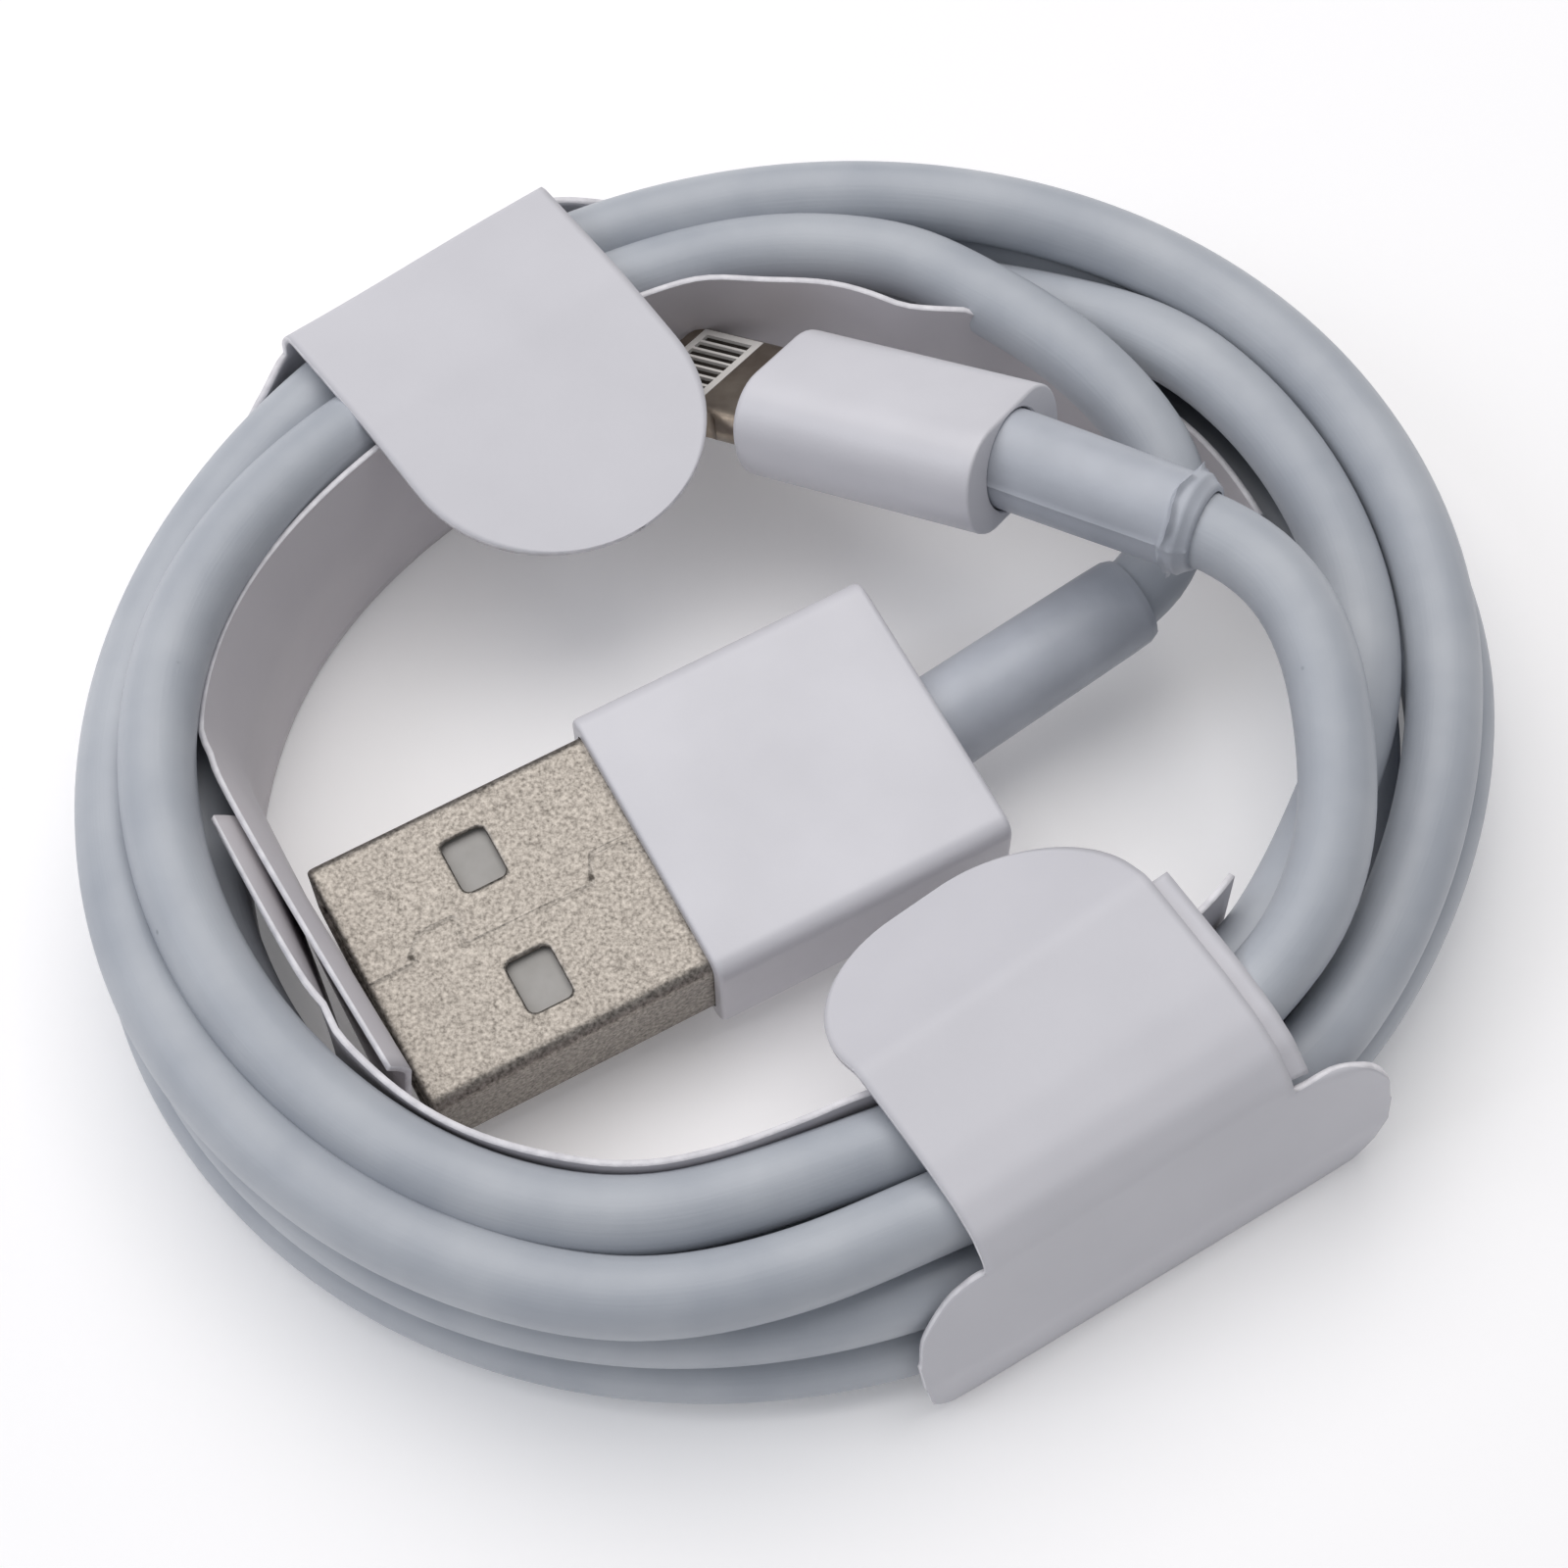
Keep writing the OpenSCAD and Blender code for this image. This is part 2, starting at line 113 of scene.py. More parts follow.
def makeStudio():
    world = bpy.data.worlds.new("paleRoom")
    world.use_nodes = True
    background = world.node_tree.nodes["Background"]
    background.inputs["Color"].default_value = linearColour(studio["worldColour"])
    background.inputs["Strength"].default_value = studio["worldStrength"]
    bpy.context.scene.world = world
    addSoftBox("overheadBox", azimuth=112, elevation=68, distance=0.55, side=0.6, watts=2.25,
               hexColour="#fffcfa")
    addSoftBox("leftBox", azimuth=190, elevation=42, distance=0.6, side=0.3, watts=0.6, hexColour="#f2f6ff")
    half = studio["floorSize"] / 2
    mesh = bpy.data.meshes.new("floor")
    corners = [(-half, -half, 0), (half, -half, 0), (half, half, 0), (-half, half, 0)]
    mesh.from_pydata(corners, [], [(0, 1, 2, 3)])
    floor = bpy.data.objects.new("floor", mesh)
    bpy.context.scene.collection.objects.link(floor)
    material = bpy.data.materials.new("matt white board")
    material.use_nodes = True
    shader = material.node_tree.nodes["Principled BSDF"]
    shader.inputs["Base Color"].default_value = linearColour(studio["floorColour"])
    shader.inputs["Roughness"].default_value = 0.9
    shader.inputs["Emission Color"].default_value = linearColour(studio["floorColour"])
    shader.inputs["Emission Strength"].default_value = studio["floorGlow"]      # keeps it near white
    mesh.materials.append(material)


makeCamera()
makeStudio()
bpy.context.scene.view_settings.view_transform = "Standard"
print("camera, floor and light made")


# ---- geometry helpers ----

def unit(v):
    v = np.asarray(v, float)
    return v / np.linalg.norm(v, axis=-1, keepdims=True)


# Unit vectors of a plug: along it, across it (level when roll is 0) and up from it
def plugAxes(along, roll=0):
    along = unit(along)
    side = unit(np.cross(upwards, along))
    up = np.cross(along, side)
    a = math.radians(roll)
    return along, math.cos(a) * side + math.sin(a) * up, math.cos(a) * up - math.sin(a) * side


# Direction that points to a compass heading from +X, and rises from the floor
def direction(heading, rise):
    h, r = math.radians(heading), math.radians(rise)
    return np.array([math.cos(h) * math.cos(r), math.sin(h) * math.cos(r), math.sin(r)])


# Smooth curve through keys: a cubic on each span, with slopes that never overshoot a key
def smoothThrough(x, keysX, keysY):
    kx, ky = np.asarray(keysX, float), np.asarray(keysY, float)
    step = np.diff(ky) / np.diff(kx)
    same = step[:-1] * step[1:] > 0
    mean = 2 * step[:-1] * step[1:] / np.where(same, step[:-1] + step[1:], 1)
    slope = np.concatenate([[0], np.where(same, mean, 0), [0]])
    i = np.clip(np.searchsorted(kx, x, "right") - 1, 0, len(kx) - 2)
    w = kx[i + 1] - kx[i]
    t = np.clip((x - kx[i]) / w, 0, 1)
    return ((1 + 2 * t) * (1 - t) ** 2 * ky[i] + t * (1 - t) ** 2 * w * slope[i]
            + t * t * (3 - 2 * t) * ky[i + 1] + t * t * (t - 1) * w * slope[i + 1])


# How far along a polyline each of its points lies
def lengthAlong(points):
    return np.concatenate([[0], np.cumsum(np.linalg.norm(np.diff(points, axis=0), axis=1))])


# Points at an even spacing along a polyline
def evenly(points, spacing):
    points = np.asarray(points, float)
    reach = lengthAlong(points)
    at = np.linspace(0, reach[-1], max(2, int(round(reach[-1] / spacing)) + 1))
    return np.stack([np.interp(at, reach, points[:, k]) for k in range(points.shape[1])], 1)


# Rounds a polyline's corners: each point becomes the bell-weighted mean of its neighbours
def rounded(points, spacing, width):
    points = evenly(points, spacing)
    n = max(1, int(3 * width / spacing))
    bell = np.exp(-0.5 * (np.arange(-n, n + 1) * spacing / width) ** 2)
    bell /= bell.sum()
    before = points[0] + (points[0] - points[1]) * np.arange(n, 0, -1)[:, None]
    after = points[-1] + (points[-1] - points[-2]) * np.arange(1, n + 1)[:, None]
    padded = np.concatenate([before, points, after])
    return np.stack([np.convolve(padded[:, k], bell, "valid") for k in range(points.shape[1])], 1)


# Outline of a rectangle with arc corners, anticlockwise from its lower right arc: (across, up) rows.
# Every outline with the same counts has as many points, so outlines of any sizes loft to each other.
def arcRectangle(width, height, radius, arc=8, straight=4):
    turn = np.radians(np.linspace(0, 90, arc + 1))
    corners = []
    for k, (sx, sy) in enumerate([(1, -1), (1, 1), (-1, 1), (-1, -1)]):
        a = turn + math.radians(90 * k - 90)
        centre = np.array([sx * (width / 2 - radius), sy * (height / 2 - radius)])
        corners.append(centre + radius * np.stack([np.cos(a), np.sin(a)], 1))
    outline = []
    for k in range(4):
        gap = np.linspace(0, 1, straight + 1)[1:-1, None]
        outline += [corners[k], corners[k][-1] * (1 - gap) + corners[(k + 1) % 4][0] * gap]
    return np.concatenate(outline)


# Puts grids of points (rows, columns, 3), in millimetres, into one mesh. A quad joins rows i, i + 1 and
# columns j, j + 1; wrap joins the last column to the first. Coincident points are welded.
def makePiece(name, grids, materials, keep=None, uv=None, values=None, sharp=40, outward=False):
    points, faces, corners, first = [], [], [], 0
    for grid, wrap in grids:
        rows, columns = grid.shape[:2]
        i, j = np.meshgrid(np.arange(rows - 1), np.arange(columns - (not wrap)), indexing="ij")
        near, far = i * columns + j, i * columns + (j + 1) % columns
        faces.append(first + np.stack([near, far, far + columns, near + columns], -1).reshape(-1, 4))
        corners.append(np.stack([i, j, i, j + 1, i + 1, j + 1, i + 1, j], -1).reshape(-1, 4, 2))
        points.append(grid.reshape(-1, 3))
        first += rows * columns
    faces, corners = np.concatenate(faces), np.concatenate(corners)
    if keep is not None:
        faces, corners = faces[keep], corners[keep]
    mesh = bpy.data.meshes.new(name)
    mesh.from_pydata((np.concatenate(points) * mm).tolist(), [], faces.tolist())
    if uv is not None:
        u, v = uv
        layer = mesh.uv_layers.new(name="surface")
        flat = np.stack([u[corners[..., 1]], v[corners[..., 0]]], -1).reshape(-1)
        layer.data.foreach_set("uv", flat.astype(np.float32))
    for label, value in (values or {}).items():
        attribute = mesh.attributes.new(label, "FLOAT", "POINT")
        attribute.data.foreach_set("value", value.ravel().astype(np.float32))
    work = bmesh.new()
    work.from_mesh(mesh)
    bmesh.ops.remove_doubles(work, verts=work.verts, dist=0.0005 * mm)
    loose = [v for v in work.verts if not v.link_faces]
    bmesh.ops.delete(work, geom=loose, context="VERTS")
    if outward:
        bmesh.ops.recalc_face_normals(work, faces=work.faces)
    work.to_mesh(mesh)
    work.free()
    mesh.shade_smooth()
    mesh.set_sharp_from_angle(angle=math.radians(sharp))
    for material in materials:
        mesh.materials.append(material)
    piece = bpy.data.objects.new(name, mesh)
    bpy.context.scene.collection.objects.link(piece)
    return piece


# Gives a one-sided sheet its thickness, half to each side; the cut edges take the second material
def thicken(piece, thickness, offset=0.0, rimMaterial=0):
    solid = piece.modifiers.new("thickness", "SOLIDIFY")
    solid.thickness = thickness * mm
    solid.offset = offset
    solid.use_even_offset = True
    solid.material_offset_rim = rimMaterial


# ---- materials ----

# Principled material with its uniform values set on the shader's own sockets
def newMaterial(name, roughness, ior=1.5, metallic=0.0, **more):
    material = bpy.data.materials.new(name)
    material.use_nodes = True
    tree = material.node_tree
    shader = tree.nodes["Principled BSDF"]
    shader.inputs["Roughness"].default_value = roughness
    shader.inputs["IOR"].default_value = ior
    shader.inputs["Metallic"].default_value = metallic
    for socket, value in more.items():
        shader.inputs[socket].default_value = value
    return material, tree, shader


# Cloudy shade between two colours in patches of one size, a fine grain that bumps the surface, and
# roughness that follows the grain. Sizes and depths are real ones, in millimetres.
def mottleAndGrain(tree, shader, dark, light, patch, grain, depth, roughness, contrast=(0.3, 0.7)):
    place = addNode(tree, "ShaderNodeTexCoord").outputs["Object"]
    clouds = addNode(tree, "ShaderNodeTexNoise", inputs={"Scale": 1 / (patch * mm), "Detail": 3.0},
                     links={"Vector": place})
    ramp = addNode(tree, "ShaderNodeValToRGB", links={"Fac": clouds.outputs["Fac"]})
    ramp.color_ramp.elements[0].position, ramp.color_ramp.elements[1].position = contrast
    ramp.color_ramp.elements[0].color = linearColour(dark)
    ramp.color_ramp.elements[1].color = linearColour(light)
    tree.links.new(ramp.outputs["Color"], shader.inputs["Base Color"])
    fine = addNode(tree, "ShaderNodeTexNoise", inputs={"Scale": 1 / (grain * mm), "Detail": 2.0},
                   links={"Vector": place})
    rough = addNode(tree, "ShaderNodeMapRange", inputs={"To Min": roughness[0], "To Max": roughness[1]},
                    links={"Value": fine.outputs["Fac"]})
    tree.links.new(rough.outputs["Result"], shader.inputs["Roughness"])
    bump = addNode(tree, "ShaderNodeBump", inputs={"Strength": 1.0, "Distance": depth * mm},
                   links={"Height": fine.outputs["Fac"]})
    tree.links.new(bump.outputs["Normal"], shader.inputs["Normal"])
    return place, ramp, bump


# TPE jacket, extruded: a dull silky blue-grey with a faint drawn grain along it and a few dark specks
def cableJacketTpe():
    material, tree, shader = newMaterial("extruded TPE jacket", 0.42, ior=1.5)
    place, ramp, bump = mottleAndGrain(tree, shader, "#a9aeb6", "#b9bdc3", patch=5, grain=0.35,
                                       depth=0.006, roughness=(0.36, 0.5))
    along = addNode(tree, "ShaderNodeUVMap", settings={"uv_map": "surface"})
    drawn = addNode(tree, "ShaderNodeMapping", inputs={"Scale": (9, 0.12, 1)},
                    links={"Vector": along.outputs["UV"]})
    streaks = addNode(tree, "ShaderNodeTexNoise", inputs={"Scale": 1.0, "Detail": 2.0},
                      links={"Vector": drawn.outputs["Vector"]})
    lines = addNode(tree, "ShaderNodeBump", inputs={"Strength": 1.0, "Distance": 0.008 * mm},
                    links={"Height": streaks.outputs["Fac"], "Normal": bump.outputs["Normal"]})
    tree.links.new(lines.outputs["Normal"], shader.inputs["Normal"])
    # specks about 0.15 mm across, one to a few square centimetres
    cells = addNode(tree, "ShaderNodeTexVoronoi", inputs={"Scale": 1 / (4.5 * mm)}, links={"Vector": place})
    speck = addNode(tree, "ShaderNodeMapRange",
                    inputs={"From Min": 0.012, "From Max": 0.03, "To Min": 0.55, "To Max": 0.0},
                    links={"Value": cells.outputs["Distance"]})
    marked = addNode(tree, "ShaderNodeMix", settings={"data_type": "RGBA"},
                     inputs={7: linearColour("#70767f")},
                     links={0: speck.outputs["Result"], 6: ramp.outputs["Color"]})
    tree.links.new(marked.outputs[2], shader.inputs["Base Color"])
    return material


# Soft TPE of the reliefs, moulded: a touch lighter and smoother than the jacket
def reliefTpe():
    material, tree, shader = newMaterial("moulded TPE relief", 0.4, ior=1.5)
    mottleAndGrain(tree, shader, "#adb1b9", "#b9bdc5", patch=3, grain=0.25, depth=0.006,
                   roughness=(0.34, 0.46))
    return material


# Polycarbonate housing, moulded in a spark-eroded tool: cool white with a fine satin texture
def housingPolycarbonate():
    material, tree, shader = newMaterial("moulded polycarbonate", 0.38, ior=1.58)
    mottleAndGrain(tree, shader, "#cfced3", "#d7d6db", patch=6, grain=0.12, depth=0.004,
                   roughness=(0.33, 0.45))
    return material


# Coated card: faintly mauve white, a soft sheen, clouded fibre under the coat
def coatedCard(name, dark, light):
    material, tree, shader = newMaterial(name, 0.5, ior=1.47)
    mottleAndGrain(tree, shader, dark, light, patch=5, grain=0.3, depth=0.005, roughness=(0.46, 0.56))
    return material


# Core of the card where it was cut: rough and fibrous, and painted brighter than the face as a painted
# highlight for the light its cut edges catch
def cardCutEdgeWithHighlight():
    material, tree, shader = newMaterial("cut card core with painted highlight", 0.85, ior=1.45)
    mottleAndGrain(tree, shader, "#d9d7db", "#efedf0", patch=0.6, grain=0.12, depth=0.02,
                   roughness=(0.8, 0.9))
    return material


# Nickel plate over rolled steel: warm grey metal whose etched grain of 0.2 mm sparkles light and dark, with
# the shell's rolled seam as a thin line. The attributes are distances from it and its dots, in millimetres.
def nickelPlate():
    material, tree, shader = newMaterial("nickel-plated steel", 0.45, metallic=1.0)
    place = addNode(tree, "ShaderNodeTexCoord").outputs["Object"]
    grain = addNode(tree, "ShaderNodeTexNoise", inputs={"Scale": 1 / (0.17 * mm), "Detail": 4.0,
                                                        "Roughness": 0.6}, links={"Vector": place})
    ramp = addNode(tree, "ShaderNodeValToRGB", links={"Fac": grain.outputs["Fac"]})
    ramp.color_ramp.elements[0].position, ramp.color_ramp.elements[1].position = 0.28, 0.72
    ramp.color_ramp.elements[0].color = linearColour("#615c56")
    ramp.color_ramp.elements[1].color = linearColour("#bcb5ac")
    seam = addNode(tree, "ShaderNodeAttribute", settings={"attribute_name": "seam"})
    line = addNode(tree, "ShaderNodeMapRange", inputs={"From Min": 0.01, "From Max": 0.05, "To Min": 0.5,
                                                       "To Max": 0.0}, links={"Value": seam.outputs["Fac"]})
    colour = addNode(tree, "ShaderNodeMix", settings={"data_type": "RGBA"},
                     inputs={7: linearColour("#8f8981")},
                     links={0: line.outputs["Result"], 6: ramp.outputs["Color"]})
    dots = addNode(tree, "ShaderNodeAttribute", settings={"attribute_name": "seamDots"})
    dot = addNode(tree, "ShaderNodeMapRange", inputs={"From Min": 0.0, "From Max": 0.08, "To Min": 0.9,
                                                      "To Max": 0.0}, links={"Value": dots.outputs["Fac"]})
    dotted = addNode(tree, "ShaderNodeMix", settings={"data_type": "RGBA"},
                     inputs={7: linearColour("#3d3833")},
                     links={0: dot.outputs["Result"], 6: colour.outputs[2]})
    tree.links.new(dotted.outputs[2], shader.inputs["Base Color"])
    rough = addNode(tree, "ShaderNodeMapRange", inputs={"To Min": 0.36, "To Max": 0.56},
                    links={"Value": grain.outputs["Fac"]})
    tree.links.new(rough.outputs["Result"], shader.inputs["Roughness"])
    pits = addNode(tree, "ShaderNodeTexNoise", inputs={"Scale": 1 / (0.26 * mm), "Detail": 3.0},
                   links={"Vector": place})
    etched = addNode(tree, "ShaderNodeBump", inputs={"Strength": 1.0, "Distance": 0.03 * mm},
                     links={"Height": pits.outputs["Fac"]})
    lip = addNode(tree, "ShaderNodeMapRange", inputs={"From Min": 0.0, "From Max": 0.12},
                  links={"Value": seam.outputs["Fac"]})
    groove = addNode(tree, "ShaderNodeBump", inputs={"Strength": 1.0, "Distance": 0.03 * mm},
                     links={"Height": lip.outputs["Result"], "Normal": etched.outputs["Normal"]})
    tree.links.new(groove.outputs["Normal"], shader.inputs["Normal"])
    return material


# A plain part's finish: sheet metal, plating or moulded plastic, with its own grain and clouding
def plainFinish(name, dark, light, grain, depth, roughness, ior=1.5, metallic=0.0, patch=1.5):
    material, tree, shader = newMaterial(name, roughness[0], ior=ior, metallic=metallic)
    mottleAndGrain(tree, shader, dark, light, patch, grain, depth, roughness)
    return material


# PVC insulation in four colours, told apart by how far across the plug a wire lies
def wireInsulation(centre, across, pitch):
    material, tree, shader = newMaterial("PVC wire insulation", 0.4, ior=1.53)
    place = addNode(tree, "ShaderNodeTexCoord").outputs["Object"]
    away = addNode(tree, "ShaderNodeVectorMath", settings={"operation": "SUBTRACT"},
                   inputs={1: (centre * mm).tolist()}, links={0: place})
    reach = addNode(tree, "ShaderNodeVectorMath", settings={"operation": "DOT_PRODUCT"},
                    inputs={1: across.tolist()}, links={0: away.outputs["Vector"]})
    share = addNode(tree, "ShaderNodeMapRange",
                    inputs={"From Min": -2 * pitch * mm, "From Max": 2 * pitch * mm},
                    links={"Value": reach.outputs["Value"]})
    ramp = addNode(tree, "ShaderNodeValToRGB", links={"Fac": share.outputs["Result"]})
    ramp.color_ramp.interpolation = "CONSTANT"
    for k, hexColour in enumerate(["#b3261e", "#e9e7e2", "#2e7d46", "#1d1d1f"]):
        stop = ramp.color_ramp.elements[k] if k < 2 else ramp.color_ramp.elements.new(k / 4)
        stop.position = k / 4
        stop.color = linearColour(hexColour)
    tree.links.new(ramp.outputs["Color"], shader.inputs["Base Color"])
    return material


jacketTpe = cableJacketTpe()
softTpe = reliefTpe()
polycarbonate = housingPolycarbonate()
wrapCard = coatedCard("coated card", "#cecdd2", "#d2d1d6")
# the liner strips' card is the same coated card, painted darker as painted shade for the shade they stand in
# inside the turns
shadedLinerCard = coatedCard("coated liner card with painted shade", "#c8c4c8", "#cecacd")
# cut card edges, painted brighter than the face: a painted highlight
cutEdgeWithHighlight = cardCutEdgeWithHighlight()
nickel = nickelPlate()
print("materials made")


# ---- the wound cable ----

cable = dict(
    diameter=3.2, spacing=0.7, sides=20,
    ringRadius=26.9, oval=1.5, ovalTurn=35,          # middle of the outer column of turns
    usbStart=(6.31, 0.70, 4.55), usbHeading=34, usbRise=6, usbInside=2.8, usbRelief=10.5,
    tabStart=(9.66, 9.86, 11.34), tabHeading=-28.6, tabRise=7.6, tabInside=2.4, tabRelief=8.8,
    angleStep=6.0, bendWidth=1.6)                    # degrees between points, and how wide corners round

# Free stretch from the USB plug's strain relief into the ring
usbRoute = [(15.0, 6.56, 5.65), (15.8, 7.1, 5.75), (16.8, 8.6, 6.3), (17.1, 10.6, 7.0), (16.5, 12.5, 7.6),
            (15.3, 14.4, 8.1), (13.7, 16.3, 8.4), (11.9, 18.1, 8.5), (10.0, 19.7, 8.4), (8.0, 21.0, 8.4)]
# Free stretch from the tab plug's strain relief into the ring, and on down to the top of the outer column
tabRoute = [(17.35, 5.66, 12.5), (18.2, 5.2, 12.6), (19.4, 4.2, 12.7), (20.6, 2.8, 12.6), (21.4, 1.0, 12.4),
            (21.9, -1.0, 12.0), (22.1, -3.3, 11.6), (22.2, -5.6, 11.0), (22.0, -7.9, 10.3),
            (21.2, -10.1, 9.6), (20.1, -12.0, 9.0), (18.8, -13.2, 8.6)]
# Where the cable lies at angles round the ring: (degrees, from the outer column's middle, height).
# A turn changes column or layer under the front flap and beside it, to the right. Turns cut into one another
# by up to 1.6 mm there, and by up to 0.45 mm round the rest of the ring.
windings = [
    (76, -3.8, 8.4), (92, -3.1, 8.3), (127, -3.4, 8.4), (180, -2.0, 10.1), (225, -2.7, 8.9),
    (240, -2.8, 8.7), (255, -3.3, 8.5), (272, -5.1, 8.3), (284, -5.6, 8.3), (304, -5.55, 8.3),
    (318, -4.7, 7.4), (328, -4.2, 6.6), (345, -4.1, 6.8), (362, -3.3, 8.2), (405, -3.3, 8.0),
    (420, -3.2, 6.2), (440, -3.2, 5.2), (495, -3.2, 5.2), (540, -3.2, 6.3), (590, -3.2, 5.2),
    (630, -3.3, 5.2), (650, -4.3, 5.1), (668, -4.3, 5.1), (700, -2.9, 2.6), (722, -2.4, 2.0),
    (765, -3.2, 2.0), (990, -3.2, 2.0), (1010, -3.8, 2.0), (1030, -3.8, 2.0), (1085, 1.1, 2.0),
    (1130, 0.2, 2.0), (1360, 0.0, 2.0), (1384, -0.5, 2.0), (1415, 0.5, 3.0), (1445, 1.1, 5.2),
    (1495, 0.1, 5.2), (1570, 0.0, 5.1), (1620, -0.8, 4.6), (1675, 0.0, 5.1), (1722, -0.7, 5.2),
    (1744, -1.1, 5.2), (1767, 0.2, 6.0), (1815, 0.0, 8.4), (1890, -0.1, 7.9), (1927, -0.25, 7.9),
    (1980, 0.05, 7.6), (2030, 0.0, 8.2), (2055, -0.05, 8.3), (2071, -1.2, 8.4), (2086, -2.4, 8.3),
    (2104, -2.35, 8.3), (2112, -2.35, 8.4)]


# Radius of the outer column's middle: a mean radius plus a cosine of twice the angle, for the pressed oval
def ringRadius(degrees):
    return cable["ringRadius"] + cable["oval"] * np.cos(np.radians(2 * (degrees - cable["ovalTurn"])))


# Whole centreline: straight in each relief, the two free stretches, and the turns between them
def cableCentreline():
    usbWay = direction(cable["usbHeading"], cable["usbRise"])
    tabWay = direction(cable["tabHeading"], cable["tabRise"])
    usbIn = cable["usbStart"] + usbWay * np.linspace(-cable["usbInside"], cable["usbRelief"] - 1, 8)[:, None]
    tabIn = cable["tabStart"] + tabWay * np.linspace(-cable["tabInside"], cable["tabRelief"] - 1, 8)[:, None]
    keys = np.array(windings)
    angle = np.arange(keys[0, 0], keys[-1, 0] + 1, cable["angleStep"])
    radius = ringRadius(angle) + smoothThrough(angle, keys[:, 0], keys[:, 1])
    turn = np.radians(angle)
    turns = np.stack([radius * np.cos(turn), radius * np.sin(turn),
                      smoothThrough(angle, keys[:, 0], keys[:, 2])], 1)
    route = np.concatenate([usbIn, usbRoute, turns, tabRoute[::-1], tabIn[::-1]])
    return rounded(route, cable["spacing"], cable["bendWidth"])


# Tube round a path: rings of points at the tube's radius in the plane across the path, one ring a point,
# and a pole at each end
def tubeGrid(path, radius, sides):
    way = unit(np.gradient(path, axis=0))
    side = unit(np.cross(way, upwards))
    up = np.cross(side, way)
    a = np.linspace(0, 2 * np.pi, sides, endpoint=False)
    rings = path[:, None] + radius * (np.cos(a)[None, :, None] * side[:, None]
                                      + np.sin(a)[None, :, None] * up[:, None])
    first = np.broadcast_to(path[0], (1, sides, 3))
    last = np.broadcast_to(path[-1], (1, sides, 3))
    return np.concatenate([first, rings, last])


def makeCable():
    path = cableCentreline()
    grid = tubeGrid(path, cable["diameter"] / 2, cable["sides"])
    reach = lengthAlong(path)
    v = np.concatenate([[-cable["diameter"] / 2], reach, [reach[-1] + cable["diameter"] / 2]])
    u = np.linspace(0, np.pi * cable["diameter"], cable["sides"] + 1)
    piece = makePiece("woundCable", [(grid, True)], [jacketTpe], uv=(u, v), outward=True)
    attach(piece, "wound_cable")
    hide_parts("usb_lead", "cable_coil", "tab_lead", "usb_jacket_end", "tab_jacket_end")
    print("cable:", round(reach[-1]), "mm in", len(path), "rings")
    return piece, path, reach[-1]


woundCable, cablePath, cableLength = makeCable()


# ---- the USB plug ----

usbMouth = np.array(mounts["usb_plug"]["pos_m"]) / mm
usbAxes = plugAxes(-np.array(mounts["usb_plug"]["axis"]), roll=3.5)
shell = dict(
    width=12.0, thickness=4.5, edge=0.55, length=18.8, wall=0.3, cell=0.12, fine=13.2,
    windowAt=(6.25, 3.0), windowSize=(2.0, 2.5), windowCorner=0.36, lip=0.05, lipWidth=0.07,
    mouthInset=0.09, mouthDepth=0.07, seamHalf=3.5,
    # rolled joint in the top face with its two dovetails: (from the mouth, across)
    seam=[(0, 0), (2.2, 0), (2.0, 0.3), (2.8, 1.1), (4.3, 1.1), (4.5, 0.8), (4.2, -0.25), (10.0, -0.35),
          (10.2, 0.1), (10.6, 0.9), (12.1, 0.9), (11.9, 0.3), (12.6, 0)],
    seamDots=[(2.1, 0.3), (10.1, -0.05)], dotRadius=0.12)


# Points given along, across and up a plug, put in their place
def placed(origin, axes, points):
    return origin + points @ np.stack(axes)


# Distance to a rectangle with arc corners, negative inside, and its outward direction
def arcBoxDistance(p, centre, half, radius):
    away = p - np.asarray(centre)
    q = np.abs(away) - (np.asarray(half) - radius)
    out = np.maximum(q, 0)
    length = np.linalg.norm(out, axis=-1)
    distance = length + np.minimum(q.max(-1), 0) - radius
    inner = np.where(q[..., :1] > q[..., 1:], [1.0, 0.0], [0.0, 1.0])
    way = np.where(length[..., None] > 1e-9, out / np.maximum(length[..., None], 1e-9), inner)
    return distance, way * np.sign(away)


# Least distance from points to a polyline: each span's nearest point, then the least over the spans
def lineDistance(p, line):
    a, b = np.array(line[:-1], float), np.array(line[1:], float)
    ab = b - a
    t = np.clip(((p[..., None, :] - a) * ab).sum(-1) / (ab * ab).sum(-1), 0, 1)
    return np.linalg.norm(p[..., None, :] - (a + t[..., None] * ab), axis=-1).min(-1)


